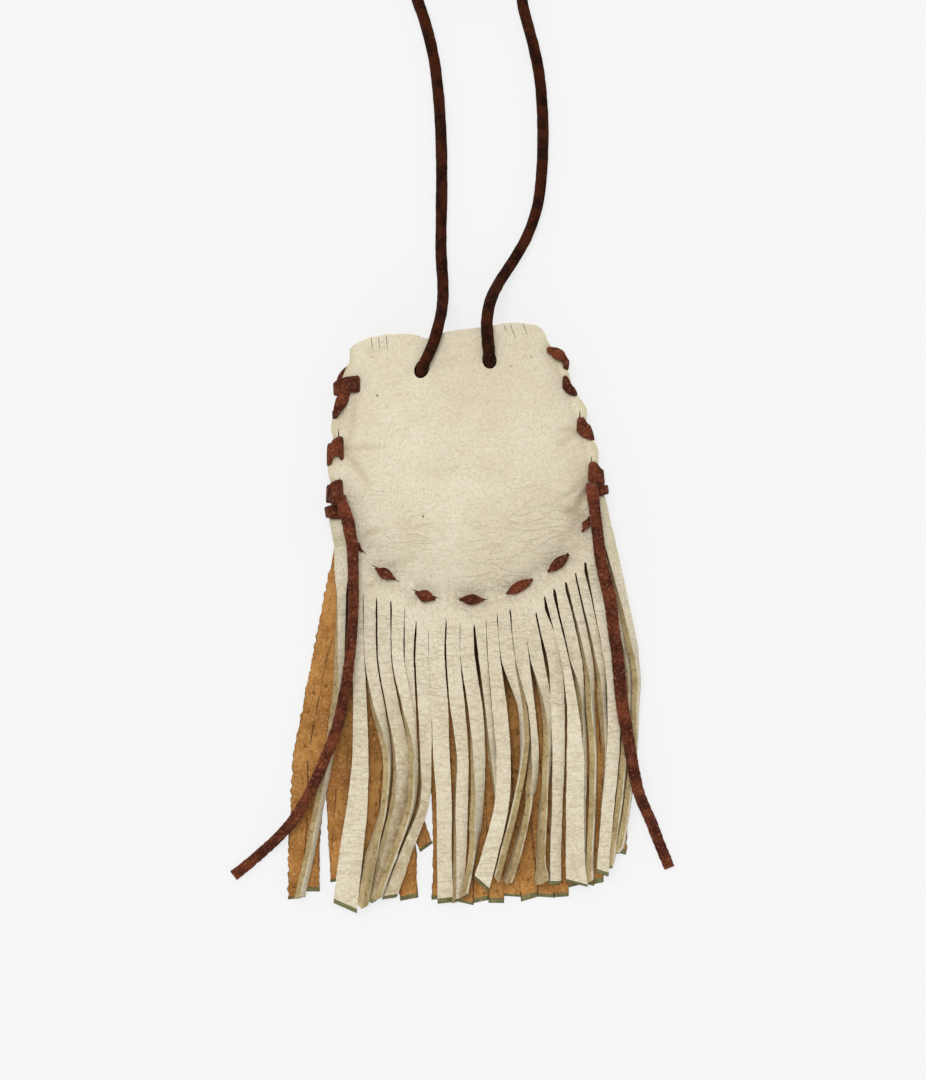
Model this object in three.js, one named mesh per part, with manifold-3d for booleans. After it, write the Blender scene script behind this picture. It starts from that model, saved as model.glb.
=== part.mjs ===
// Fringed leather neck pouch, lying on its back as it comes to rest.
// Millimetres, +Z up, +Y towards the mouth. The origin is on the flat back of the pouch.
import * as THREE from 'three';
import { LoftGeometry } from 'three/addons/geometries/LoftGeometry.js';
import { mergeVertices } from 'three/addons/utils/BufferGeometryUtils.js';
import Module from 'manifold-3d';

const wasm = await Module();
wasm.setup();

// Leather, lace and cord
const leather = 1.8;
const laceWidth = 3.2;
const laceThickness = 1.4;
const laceBend = 1.2;
const lacePinch = 0.7;
const laceBulge = 0.8;
const cordDiameter = 3.1;
const cordHole = 4;
const clearance = 0.3;

// The seam is a half circle below. The cushion ends beside the lace, and is narrower towards the mouth.
const seamCentre = new THREE.Vector2(-0.5, -1.2);
const seamRadius = 36.6;
const cushionRadius = seamRadius - laceWidth / 2 - clearance;
const mouthMiddle = -5.3;
const mouthHalf = 27;
const mouthHeight = 36;
const taper = 1.6;
const dome = 6.9;
const domePower = 3;
const flatShare = 0.6;
const liftedShare = 0.8;

// Room for what lies behind the back panel
const seamLift = laceBend + laceThickness / 2 + clearance;
const cordRidge = { x: -3.4, y: 27.5, height: cordDiameter + 1.4, halfWidth: 14, crest: 3, foot: 20 };

// Fringe
const kerf = 0.7;
const stripWidth = 3.4;
const fringeEnd = -123.2;
const fringeDrop = { start: 6, end: 18 };
const slitLine = { low: -44, middle: -1.7, rise: 0.0129 };
const stripSteps = 7;
const turnedBy = 0.4;
const widenedBy = 0.6;
const settledBy = 0.3;
const raisedFrom = 0.05;

// Outline of both panels, the same cut, from the mouth's corners down to the fringe
const leftEdge = [
  [-33.2, 32.3], [-34.2, 27.7], [-35.6, 22.4], [-37.8, 14], [-39.3, 5.9],
  [-39.9, -1.4], [-39.6, -9.8], [-38.4, -16.8], [-37.5, -27.4],
];
const rightEdge = [
  [22.7, 33], [25.8, 29.4], [28.6, 25.2], [31.4, 19.6], [33.6, 14], [36.1, 4.8],
  [37.4, -2.8], [38.4, -8.4], [40.3, -15.4], [42.3, -20.8],
];
const mouthEdge = [
  [-33.2, 32.3], [-31.4, 34], [-27.2, 35.7], [-23, 36.4], [-18.2, 36.4], [-11, 35], [-5.6, 36.8],
  [2.8, 38.1], [9.8, 39.3], [13.7, 39.6], [19.2, 38.9], [21.6, 36.8], [22.7, 33],
];
const rows = [0, 0.08, 0.18, 0.3, 0.43, 0.56, 0.68, 0.79, 0.9, 1];

// Short cuts in the lip of the front panel: place on the edge, depth and lean
const lipCut = 0.35;
const lipBlade = 4 * dome;
const lipCuts = [
  { x: -27.2, y: 35.7, depth: 3.8, lean: 8 },
  { x: -24.9, y: 36.2, depth: 3.8, lean: 6 },
  { x: -22.9, y: 36.4, depth: 4.0, lean: 7 },
  { x: 9.4, y: 39.2, depth: 2.2, lean: 30 },
  { x: 11.9, y: 39.4, depth: 4.4, lean: 20 },
  { x: 15.3, y: 39.6, depth: 3.4, lean: 24 },
];

// Strips from left to right. share: part of the width at the slits.
// tip: where the strip ends, sideways, and how far above the end of the fringe.
// lean: sideways slope at the root and at the tip. roll: how far it has turned on its edge.
// over: 1 where it lies on its neighbours. wide: its width at the tip, in strip widths.
const frontStrips = [
  { share: 4.2, tip: [-47.2, 2.2], lean: [0.02, -0.24], roll: 60, wide: 1.06 },
  { share: 3.9, tip: [-34.6, 0], lean: [0.05, -0.18], wide: 1.88 },
  { share: 3.8, tip: [-29.9, 0.8], lean: [0.03, -0.44], roll: 80, wide: 1 },
  { share: 4.1, tip: [-27.4, 1.4], lean: [0.03, -0.4], roll: 80, wide: 1 },
  { share: 3.8, tip: [-24.9, 2], lean: [0.04, -0.36], roll: 80, wide: 1 },
  { share: 3.4, tip: [-22.3, 2.8], lean: [0.02, -0.3], roll: 80, wide: 0.97 },
  { share: 3.5, tip: [-18.9, 2.6], lean: [0.04, -0.26], roll: 40, wide: 1.06 },
  { share: 4.8, tip: [-6.3, 1.7], lean: [-0.01, -0.01], wide: 1.18 },
  { share: 3.9, tip: [-2.5, 1.7], lean: [0.05, -0.07], roll: 20, wide: 1 },
  { share: 3.9, tip: [0.2, 2.8], lean: [0.15, -0.11], roll: 65, wide: 0.97 },
  { share: 3.4, tip: [5.9, 5.6], lean: [0.13, -0.1], wide: 0.88 },
  { share: 3.1, tip: [3.9, 6.4], lean: [0.1, -0.4], over: 1, wide: 1.21 },
  { share: 3.6, tip: [8.4, 7.8], lean: [0.25, -0.36], roll: 60, wide: 0.97 },
  { share: 3.6, tip: [11.4, 7], lean: [0.26, -0.41], roll: 55, wide: 0.97 },
  { share: 3.4, tip: [20.4, 6.4], lean: [0.26, -0.02], roll: 75, wide: 0.97 },
  { share: 2.5, tip: [24.6, 6.4], lean: [0.36, 0.06], wide: 1.09 },
  { share: 2.7, tip: [30.4, 6.4], lean: [0.32, 0.06], over: 1, wide: 1.47 },
  { share: 3.2, tip: [31.6, 11.2], lean: [0.36, 0], wide: 0.88 },
  { share: 2.8, tip: [34.8, 7], lean: [0.36, 0], roll: 75, wide: 0.94 },
  { share: 2.7, tip: [37.9, 14.2], lean: [0.38, 0.02], wide: 0.59 },
  { share: 2.9, tip: [37.4, 9.5], lean: [0.38, -0.09], over: 1, wide: 0.91 },
  { share: 2.8, tip: [40.2, 11.3], lean: [0.5, -0.1], roll: 75, wide: 0.97 },
  { share: 4.2, tip: [42.9, 14.7], lean: [0.46, -0.12], roll: 75, wide: 0.97 },
];
const backStrips = [
  { share: 1, tip: [-48.6, 2], lean: [-0.1, -0.08], wide: 1.03 },
  { share: 1, tip: [-44.2, 4.2], lean: [-0.06, -0.12], wide: 1.03 },
  { share: 1, tip: [-39, 8.4], lean: [-0.04, -0.2], wide: 0.88 },
  { share: 1, tip: [-35, 6.7], lean: [-0.02, -0.2], wide: 0.88 },
  { share: 1, tip: [-28.8, 7], lean: [0, -0.1], wide: 1.03 },
  { share: 1, tip: [-23.4, 5.6], lean: [0.02, -0.1], wide: 1.03 },
  { share: 1, tip: [-17.8, 2.2], lean: [0, -0.05], wide: 1 },
  { share: 1, tip: [-12.8, 16.4], lean: [0.04, 0], wide: 0.94 },
  { share: 1, tip: [-9, 2.2], lean: [0, 0], wide: 1 },
  { share: 1, tip: [-4.9, 2.6], lean: [0.02, 0], wide: 1 },
  { share: 1, tip: [-0.9, 0.6], lean: [0.04, -0.04], wide: 1 },
  { share: 1, tip: [3.3, 1.6], lean: [0.04, -0.02], wide: 1 },
  { share: 1, tip: [7.8, 1.4], lean: [0.05, 0], wide: 1.06 },
  { share: 1, tip: [12.4, 2.4], lean: [0.06, 0.02], wide: 1.06 },
  { share: 1, tip: [17, 2.4], lean: [0.08, 0.02], wide: 1.06 },
  { share: 1, tip: [21.6, 2.4], lean: [0.1, 0.02], wide: 1.06 },
  { share: 1, tip: [26.2, 2.8], lean: [0.12, 0.02], wide: 1.06 },
  { share: 1, tip: [30.4, 5.6], lean: [0.14, 0], wide: 0.94 },
  { share: 1, tip: [33.8, 5.8], lean: [0.17, -0.03], wide: 0.85 },
  { share: 1, tip: [36.9, 7], lean: [0.2, -0.08], wide: 0.82 },
  { share: 1, tip: [40, 10.2], lean: [0.23, -0.1], wide: 0.76 },
  { share: 1, tip: [43.2, 15], lean: [0.27, -0.12], wide: 0.74 },
];

// Whip stitches. start: where the lace begins, behind. places: a hole, then the place where the lace goes
// round the edge, and so on down the side, to the hole that the free tail comes out of.
const leftWhip = {
  start: [-36.2, 26.2],
  places: [
    [-30.8, 22.7], [-37.4, 21], [-33.6, 17.6], [-39, 15.2], [-35.6, 7.8], [-41.3, 4.4],
    [-36, -3.8], [-41.3, -6.8], [-35, -10.6], [-40.7, -12.6], [-33.8, -14.8],
  ],
  tail: [
    [-33.1, -19, 9.1], [-32.3, -24, 9.7], [-32, -30, 8.7], [-32, -40, 7.7], [-32.3, -49.3, 7.7],
    [-33.6, -58.2, 7.7], [-35.8, -71.1, 7.7], [-39.4, -80.6, 7.7], [-43.4, -89.9, 7.7], [-46.8, -95.4, 7],
    [-50.2, -100.2, 4.8], [-53.8, -104.6, 2.4], [-58, -108.9, 1.2], [-66, -115.6, 1],
  ],
};
const rightWhip = {
  start: [21.4, 33.4],
  places: [
    [22.6, 29.6], [28.2, 28], [26.7, 24.2], [32.9, 20.6], [31, 13.6], [37, 9], [33.9, 2],
    [39, -2.6], [34.4, -5], [40, -7.4], [34.6, -9.8],
  ],
  tail: [
    [35.6, -14.6, 9.1], [36.4, -20.4, 9.7], [37.7, -28, 8.7], [39.6, -37, 7.7], [41, -47.6, 7.7],
    [43, -61.5, 7.7], [44.8, -75, 7.7], [46.6, -84.5, 7.7], [49, -92.4, 6.8], [51.8, -100.4, 3.4],
    [54.4, -107.4, 1.2], [56.8, -113.4, 1],
  ],
};

// Running stitch: the two holes of each stitch that is seen on the front, as angles on the seam circle
const runningStitches = [
  [213.5, 219.5], [226.5, 238.5], [247, 257.5], [267.5, 278.5], [289, 300], [309.5, 319.5], [330.5, 337],
];
const laceEndAngle = 4;

// Neck cord: a piece behind the pouch that comes up through both holes, and two strands to the coil
const cordBehind = [
  [-9.4, 34.4, 14.8], [-10.8, 31.2, 14.7], [-12.4, 28.2, 13.5], [-13.2, 26.4, 10.6], [-13, 25.6, 7.4],
  [-11.6, 25.6, 4.2], [-9, 26, 2.2], [-6.2, 26.7, 1.7], [-3.4, 27.3, 1.7], [-0.6, 27.9, 1.7],
  [2.2, 28.4, 2.2], [4.8, 28.4, 4.2], [6.2, 28.4, 7.4], [6.5, 29.2, 10.6], [6.2, 31, 13.5],
  [5.7, 34, 14.7], [5.3, 37.2, 14.8],
];
const leftStrand = [
  [-9.2, 34.9, 14.8], [-8.4, 38, 14.2], [-7.6, 41.4, 12.2], [-7.1, 45.6, 8.6], [-7, 50, 4.8],
  [-7.3, 55.4, 2.4], [-7.6, 62, 1.7], [-7.4, 83.2, 1.7], [-7.9, 98.8, 1.7], [-9, 110.6, 1.7],
  [-10.4, 118.4, 1.7], [-12, 124.6, 1.7], [-13.9, 130.2, 1.7], [-15.2, 135, 1.7], [-16, 139.8, 1.7],
];
const rightStrand = [
  [5.2, 37.7, 14.8], [5.3, 40.8, 14], [5.9, 44.2, 11.8], [7.2, 48.2, 8], [9.4, 52.4, 4.4],
  [12.6, 57.4, 2.2], [16.5, 64.2, 1.7], [19.3, 72, 1.7], [20.5, 79.4, 1.7], [21, 87, 1.7],
  [21.1, 95, 1.7], [20.8, 102.8, 1.7], [20, 110.6, 1.7], [18.4, 118.4, 1.7], [15.4, 130.2, 1.7],
  [14.6, 134.6, 1.7], [14.5, 139.2, 1.7],
];
const coil = { x: 0, y: 156.6, turnRadius: 16.5, halfWidth: 4.9, height: 6.8, corner: 1.2 };
const cordSides = 8;
const strandSteps = 18;
const behindSteps = 30;
const coilSides = 32;

const creamLeather = new THREE.MeshStandardMaterial({ color: 0xe1d7be, roughness: 0.75, metalness: 0 });
const darkLace = new THREE.MeshStandardMaterial({ color: 0x50261c, roughness: 0.95, metalness: 0 });
const darkCord = new THREE.MeshStandardMaterial({ color: 0x3c1a10, roughness: 0.85, metalness: 0 });

// Place between the middle of the stuffed part, 0, and its seam, 1
function seamShare(x, y) {
  if (y < seamCentre.y) {
    return Math.hypot(x - seamCentre.x, y - seamCentre.y) / cushionRadius;
  }
  const up = (y - seamCentre.y) / (mouthHeight - seamCentre.y);
  const middle = THREE.MathUtils.lerp(seamCentre.x, mouthMiddle, up);
  const half = THREE.MathUtils.lerp(cushionRadius, mouthHalf, Math.pow(up, taper));
  return Math.abs(x - middle) / half;
}

// The seam is held up by the lace behind it, and below it the fringe comes down to the ground
function liftAt(x, y) {
  const share = seamShare(x, y);
  if (share < 1 || y > seamCentre.y) {
    return 1;
  }
  const below = (share - 1) * cushionRadius;
  return 1 - THREE.MathUtils.smoothstep(below, fringeDrop.start, fringeDrop.end);
}

function ridgeAt(x, y) {
  const across = Math.exp(-Math.pow((x - cordRidge.x) / cordRidge.halfWidth, 4));
  const along = 1 - THREE.MathUtils.smoothstep(Math.abs(y - cordRidge.y), cordRidge.crest, cordRidge.foot);
  return cordRidge.height * across * along;
}

// Undersides of the two panels
function backHeight(x, y) {
  const edge = THREE.MathUtils.smoothstep(seamShare(x, y), flatShare, liftedShare);
  return Math.max(seamLift * edge * liftAt(x, y), ridgeAt(x, y));
}

function frontHeight(x, y) {
  const share = Math.min(1, seamShare(x, y));
  const cushion = dome * (1 - Math.pow(share, domePower));
  return leather + clearance + seamLift * liftAt(x, y) + cushion;
}

// A closed sheet of leather made of quads, with a lower and an upper side and a wall along each free edge
class LeatherSheet {
  constructor() {
    this.lower = [];
    this.upper = [];
    this.quads = [];
  }

  addPoint(lower, upper) {
    this.lower.push(lower);
    this.upper.push(upper);
    return this.lower.length - 1;
  }

  addQuad(a, b, c, d) {
    this.quads.push([a, b, c, d]);
  }

  geometry() {
    const count = this.lower.length;
    const positions = [...this.lower, ...this.upper].flatMap((point) => point.toArray());
    const edges = new Set();
    for (const quad of this.quads) {
      quad.forEach((from, side) => edges.add(`${from} ${quad[(side + 1) % 4]}`));
    }
    const index = [];
    for (const quad of this.quads) {
      const [a, b, c, d] = quad;
      index.push(count + a, count + b, count + c, count + a, count + c, count + d);
      index.push(a, c, b, a, d, c);
      quad.forEach((from, side) => {
        const to = quad[(side + 1) % 4];
        if (!edges.has(`${to} ${from}`)) {
          index.push(count + from, from, to, count + from, to, count + to);
        }
      });
    }
    const geometry = new THREE.BufferGeometry();
    geometry.setAttribute('position', new THREE.Float32BufferAttribute(positions, 3));
    geometry.setIndex(index);
    return geometry;
  }
}

function splineThrough(points) {
  return new THREE.SplineCurve(points.map(([x, y]) => new THREE.Vector2(x, y)));
}

function slitHeight(x) {
  return slitLine.low + slitLine.rise * (x - slitLine.middle) ** 2;
}

// A patch between the mouth, the two sides and the line where the slits start
function bodyPatch() {
  const mouth = splineThrough(mouthEdge);
  const left = splineThrough(leftEdge);
  const right = splineThrough(rightEdge);
  const corners = [mouth.getPoint(0), mouth.getPoint(1), left.getPoint(1), right.getPoint(1)];
  return (across, down) => {
    const slitX = THREE.MathUtils.lerp(corners[2].x, corners[3].x, across);
    const slit = new THREE.Vector2(slitX, slitHeight(slitX));
    const point = mouth.getPointAt(across).multiplyScalar(1 - down);
    point.addScaledVector(slit, down);
    point.addScaledVector(left.getPointAt(down), 1 - across);
    point.addScaledVector(right.getPointAt(down), across);
    point.addScaledVector(corners[0], -(1 - across) * (1 - down));
    point.addScaledVector(corners[1], -across * (1 - down));
    point.addScaledVector(new THREE.Vector2(corners[2].x, slitHeight(corners[2].x)), -(1 - across) * down);
    point.addScaledVector(new THREE.Vector2(corners[3].x, slitHeight(corners[3].x)), -across * down);
    return point;
  };
}

// Shares of the slit line at the two sides of each strip
function stripCuts(strips) {
  const total = strips.reduce((sum, strip) => sum + strip.share, 0);
  const cuts = [0];
  strips.forEach((strip) => cuts.push(Math.min(1, cuts.at(-1) + strip.share / total)));
  return cuts;
}

// Left and right side of a strip at a step below its root, lying on a surface at the height rest
function stripPoints(strip, root, step, rest) {
  const t = step / stripSteps;
  const drop = root.y - fringeEnd - strip.tip[1];
  const rootShare = 2 * t ** 3 - 3 * t ** 2 + 1;
  const rootLean = t ** 3 - 2 * t ** 2 + t;
  const tipLean = t ** 3 - t ** 2;
  const x = rootShare * root.x + (1 - rootShare) * strip.tip[0]
    + drop * (rootLean * strip.lean[0] + tipLean * strip.lean[1]);
  const slope = ((6 * t ** 2 - 6 * t) * (root.x - strip.tip[0])) / drop
    + (3 * t ** 2 - 4 * t + 1) * strip.lean[0] + (3 * t ** 2 - 2 * t) * strip.lean[1];
  const y = root.y - drop * t;
  const along = new THREE.Vector2(slope, -1).normalize();

  const turned = THREE.MathUtils.smoothstep(t, 0, turnedBy);
  const roll = THREE.MathUtils.degToRad(strip.roll ?? 0) * turned;
  const widened = THREE.MathUtils.smoothstep(t, 0, widenedBy);
  const width = THREE.MathUtils.lerp(root.width - kerf, strip.wide * stripWidth, widened);
  const halfHeight = (width * Math.sin(roll) + leather * Math.cos(roll)) / 2;
  const settled = THREE.MathUtils.smoothstep(t, 0, settledBy);
  const raised = (strip.over ?? 0) * (leather + clearance) * THREE.MathUtils.smoothstep(t, raisedFrom, settledBy);
  const z = THREE.MathUtils.lerp(root.z + leather / 2, rest + leather / 2, settled)
    + halfHeight - leather / 2 + raised;

  const centre = new THREE.Vector3(x, y, z);
  const across = new THREE.Vector3(-along.y * Math.cos(roll), along.x * Math.cos(roll), -Math.sin(roll));
  const upward = new THREE.Vector3(-along.y * Math.sin(roll), along.x * Math.sin(roll), Math.cos(roll));
  return [-0.5, 0.5].map((side) => [-0.5, 0.5].map((layer) => centre.clone()
    .addScaledVector(across, side * width).addScaledVector(upward, layer * leather)));
}

// One panel and the fringe that is cut into it
function leatherPanel(strips, heightAt, rest) {
  const sheet = new LeatherSheet();
  const patch = bodyPatch();
  const cuts = stripCuts(strips);
  const grid = rows.map((down) => cuts.map((across) => {
    const { x, y } = patch(across, down);
    const z = heightAt(x, y);
    return sheet.addPoint(new THREE.Vector3(x, y, z), new THREE.Vector3(x, y, z + leather));
  }));
  for (let row = 1; row < rows.length; row += 1) {
    for (let column = 1; column < cuts.length; column += 1) {
      sheet.addQuad(grid[row][column - 1], grid[row][column], grid[row - 1][column], grid[row - 1][column - 1]);
    }
  }
  strips.forEach((strip, number) => {
    let [left, right] = grid.at(-1).slice(number, number + 2);
    const middle = sheet.lower[left].clone().add(sheet.lower[right]).multiplyScalar(0.5);
    const root = { x: middle.x, y: middle.y, z: middle.z, width: sheet.lower[left].distanceTo(sheet.lower[right]) };
    for (let step = 1; step <= stripSteps; step += 1) {
      const [leftPair, rightPair] = stripPoints(strip, root, step, rest);
      const nextLeft = sheet.addPoint(...leftPair);
      const nextRight = sheet.addPoint(...rightPair);
      sheet.addQuad(nextLeft, nextRight, right, left);
      [left, right] = [nextLeft, nextRight];
    }
  });
  return toSolid(sheet.geometry());
}

function toSolid(geometry) {
  const bare = new THREE.BufferGeometry().copy(geometry);
  bare.deleteAttribute('normal');
  bare.deleteAttribute('uv');
  const merged = mergeVertices(bare, 1e-4);
  return new wasm.Manifold(new wasm.Mesh({
    numProp: 3,
    vertProperties: new Float32Array(merged.attributes.position.array),
    triVerts: new Uint32Array(merged.index.array),
  }));
}

function toMesh(name, solid, material) {
  const { vertProperties, triVerts } = solid.getMesh();
  const geometry = new THREE.BufferGeometry();
  geometry.setAttribute('position', new THREE.BufferAttribute(new Float32Array(vertProperties), 3));
  geometry.setIndex(new THREE.BufferAttribute(new Uint32Array(triVerts), 1));
  geometry.computeVertexNormals();
  const mesh = new THREE.Mesh(geometry, material);
  mesh.name = name;
  return mesh;
}

// A flat lace through stations, each a place with the level direction of its width
function laceSolid(stations, extra = 0) {
  const sections = stations.map(({ place, side, width }, number) => {
    const before = stations[Math.max(0, number - 1)].place;
    const after = stations[Math.min(stations.length - 1, number + 1)].place;
    const along = after.clone().sub(before).normalize();
    const across = side.clone().addScaledVector(along, -side.dot(along)).normalize();
    const upward = along.clone().cross(across);
    const halfWidth = width / 2 + extra;
    const half = laceThickness / 2 + extra;
    return [[1, 1], [-1, 1], [-1, -1], [1, -1]].map(([w, h]) => place.clone()
      .addScaledVector(across, w * halfWidth).addScaledVector(upward, h * half));
  });
  return toSolid(new LoftGeometry(sections, { closed: true, capStart: true, capEnd: true }));
}

const runAbove = (place) => frontHeight(place.x, place.y) + leather + laceBend;
const runBelow = (place) => backHeight(place.x, place.y) - laceBend;

// Where the lace passes the panels at one place: level in, round a bend, straight, round a bend, level out
function passage(place, before, after, upwards, side, narrow) {
  const inward = place.clone().sub(before).normalize();
  const outward = after.clone().sub(place).normalize();
  const sideIn = new THREE.Vector3(-inward.y, inward.x, 0);
  sideIn.multiplyScalar(side.dot(sideIn) < 0 ? -1 : 1);
  const sideOut = new THREE.Vector3(-outward.y, outward.x, 0);
  sideOut.multiplyScalar(sideIn.dot(sideOut) < 0 ? -1 : 1);
  const sideMiddle = sideIn.clone().add(sideOut).normalize();
  const levels = [runBelow(place), runAbove(place)];
  const [from, to] = upwards ? levels : levels.reverse();
  const climb = upwards ? laceBend : -laceBend;
  const station = (direction, offset, z, sideways, width) => ({
    place: new THREE.Vector3(place.x + direction.x * offset, place.y + direction.y * offset, z),
    side: sideways,
    width,
  });
  const bend = 1 - Math.SQRT1_2;
  return [
    station(inward, -laceBend, from, sideIn, (laceWidth + narrow) / 2),
    station(inward, -bend * laceBend, from + bend * climb, sideIn, narrow),
    station(inward, 0, from + climb, sideMiddle, narrow),
    station(outward, 0, to - climb, sideMiddle, narrow),
    station(outward, bend * laceBend, to - bend * climb, sideOut, narrow),
    station(outward, laceBend, to, sideOut, (laceWidth + narrow) / 2),
  ];
}

// The middle of a run on one side of the leather, standing a little clear of it
function middleOfRun(from, to, above, side) {
  const place = from.clone().add(to).multiplyScalar(0.5);
  const z = above
    ? Math.max(runAbove(from), runAbove(to), runAbove(place)) + laceBulge
    : Math.min(runBelow(from), runBelow(to), runBelow(place));
  const along = to.clone().sub(from).normalize();
  const across = new THREE.Vector3(-along.y, along.x, 0);
  across.multiplyScalar(side.dot(across) < 0 ? -1 : 1);
  return { place: new THREE.Vector3(place.x, place.y, z), side: across, width: laceWidth };
}

// A lace that starts behind and passes the panels at each place in turn, at first upwards.
// Gives its stations, and a cutter for each place that is a hole.
function stitchedLace(start, places, end, isHole) {
  const points = [start, ...places, end].map(([x, y]) => new THREE.Vector3(x, y, 0));
  const firstRun = points[1].clone().sub(points[0]).normalize();
  const stations = [{
    place: new THREE.Vector3(points[0].x, points[0].y, runBelow(points[1])),
    side: new THREE.Vector3(-firstRun.y, firstRun.x, 0),
    width: laceWidth,
  }];
  const holes = [];
  for (let number = 1; number < points.length - 1; number += 1) {
    const [before, place, after] = points.slice(number - 1, number + 2);
    const upwards = number % 2 === 1;
    const narrow = isHole(number) ? laceWidth * lacePinch : laceWidth;
    const passed = passage(place, before, after, upwards, stations.at(-1).side, narrow);
    stations.push(...passed);
    if (isHole(number)) {
      holes.push(laceSolid([passed[0], passed[2], passed[3], passed[5]], clearance));
    }
    if (number < points.length - 2) {
      stations.push(middleOfRun(place, after, upwards, passed.at(-1).side));
    }
  }
  return { stations, holes };
}

function sideLace(whip) {
  const { stations, holes } = stitchedLace(whip.start, whip.places, whip.tail[0], (number) => number % 2 === 1);
  whip.tail.forEach(([x, y, z], number) => {
    const next = whip.tail[Math.min(number + 1, whip.tail.length - 1)];
    const last = whip.tail[Math.max(number - 1, 0)];
    const along = new THREE.Vector3(next[0] - last[0], next[1] - last[1], 0).normalize();
    const side = new THREE.Vector3(-along.y, along.x, 0);
    side.multiplyScalar(stations.at(-1).side.dot(side) < 0 ? -1 : 1);
    stations.push({ place: new THREE.Vector3(x, y, z), side, width: laceWidth });
  });
  return { solid: laceSolid(stations), holes };
}

function onSeam(degrees) {
  const angle = THREE.MathUtils.degToRad(degrees);
  return [seamCentre.x + seamRadius * Math.cos(angle), seamCentre.y + seamRadius * Math.sin(angle)];
}

function bottomLace() {
  const angles = runningStitches.flat();
  const start = onSeam(angles[0] - laceEndAngle);
  const end = onSeam(angles.at(-1) + laceEndAngle);
  const { stations, holes } = stitchedLace(start, angles.map(onSeam), end, () => true);
  const lastRun = stations.at(-1);
  stations.push({ ...lastRun, place: new THREE.Vector3(...end, lastRun.place.z) });
  return { solid: laceSolid(stations), holes };
}

// A round cord along a curve
function cordTube(points, steps, diameter) {
  const section = new THREE.Shape();
  section.absarc(0, 0, diameter / 2, 0, 2 * Math.PI, false);
  const path = new THREE.CatmullRomCurve3(points.map((point) => new THREE.Vector3(...point)), false, 'centripetal');
  return new THREE.ExtrudeGeometry(section, {
    steps, curveSegments: cordSides / 2, extrudePath: path, bevelEnabled: false,
  });
}

function cordCoil() {
  const inner = coil.turnRadius - coil.halfWidth;
  const outer = coil.turnRadius + coil.halfWidth;
  const low = clearance / 2;
  const high = low + coil.height;
  const profile = [
    [inner + coil.corner, low], [outer - coil.corner, low], [outer, low + coil.corner],
    [outer, high - coil.corner], [outer - coil.corner, high], [inner + coil.corner, high],
    [inner, high - coil.corner], [inner, low + coil.corner], [inner + coil.corner, low],
  ].map(([radius, height]) => new THREE.Vector2(radius, height));
  const ring = new THREE.LatheGeometry(profile, coilSides);
  ring.rotateX(Math.PI / 2);
  return ring;
}

// A short cut through the lip: a blade that stands across the edge, half of it over the leather
function lipCutter({ x, y, depth, lean }) {
  const blade = new THREE.BoxGeometry(lipCut, 2 * depth, lipBlade);
  blade.rotateZ(THREE.MathUtils.degToRad(lean));
  blade.translate(x, y, lipBlade / 2);
  return toSolid(blade);
}

const left = sideLace(leftWhip);
const right = sideLace(rightWhip);
const bottom = bottomLace();
const cordHoles = toSolid(cordTube(cordBehind, behindSteps, cordHole));
const laceHoles = [...left.holes, ...right.holes, ...bottom.holes];

let front = leatherPanel(frontStrips, frontHeight, leather + clearance).subtract(cordHoles);
let back = leatherPanel(backStrips, backHeight, 0).subtract(cordHoles);
for (const hole of laceHoles) {
  front = front.subtract(hole);
  back = back.subtract(hole);
}
for (const cut of lipCuts) {
  front = front.subtract(lipCutter(cut));
}

const group = new THREE.Group();
group.add(toMesh('front_panel', front, creamLeather));
group.add(toMesh('back_panel', back, creamLeather));
group.add(toMesh('left_side_lace', left.solid, darkLace));
group.add(toMesh('right_side_lace', right.solid, darkLace));
group.add(toMesh('bottom_lace', bottom.solid, darkLace));
group.add(toMesh('neck_cord_behind', toSolid(cordTube(cordBehind, behindSteps, cordDiameter)), darkCord));
group.add(toMesh('neck_cord_left', toSolid(cordTube(leftStrand, strandSteps, cordDiameter)), darkCord));
group.add(toMesh('neck_cord_right', toSolid(cordTube(rightStrand, strandSteps, cordDiameter)), darkCord));
const coilMesh = toMesh('neck_cord_coil', toSolid(cordCoil()), darkCord);
coilMesh.position.set(coil.x, coil.y, 0);
group.add(coilMesh);

export default group;
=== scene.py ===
import math

import bmesh
import bpy
import numpy as np
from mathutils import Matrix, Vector, kdtree, noise


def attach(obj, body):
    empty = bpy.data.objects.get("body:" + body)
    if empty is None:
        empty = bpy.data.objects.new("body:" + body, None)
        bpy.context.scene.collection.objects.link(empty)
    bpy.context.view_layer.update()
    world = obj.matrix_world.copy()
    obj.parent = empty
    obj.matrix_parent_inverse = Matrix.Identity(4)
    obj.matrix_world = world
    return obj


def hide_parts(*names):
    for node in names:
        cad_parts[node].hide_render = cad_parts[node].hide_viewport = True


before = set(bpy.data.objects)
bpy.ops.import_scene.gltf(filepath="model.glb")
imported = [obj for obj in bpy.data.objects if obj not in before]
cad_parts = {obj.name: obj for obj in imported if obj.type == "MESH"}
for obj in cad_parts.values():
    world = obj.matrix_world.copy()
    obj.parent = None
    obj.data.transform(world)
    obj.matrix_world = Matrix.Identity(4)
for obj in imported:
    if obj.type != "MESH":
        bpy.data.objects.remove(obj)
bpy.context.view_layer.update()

MM = 0.001
BODY = "root"

# The photograph's frame: millimetres in a pixel, and the pixel that lies over the origin
PIXEL = 0.28
ZERO = (468, 465)
PHOTO_SIZE = (926, 1080)

# Leather, lace and cord
LEATHER = 1.8
GAP = 0.3
LACE_THICKNESS = 1.25
LACE_BEND = 0.95
KNOT_THICKNESS = 1.7

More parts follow.
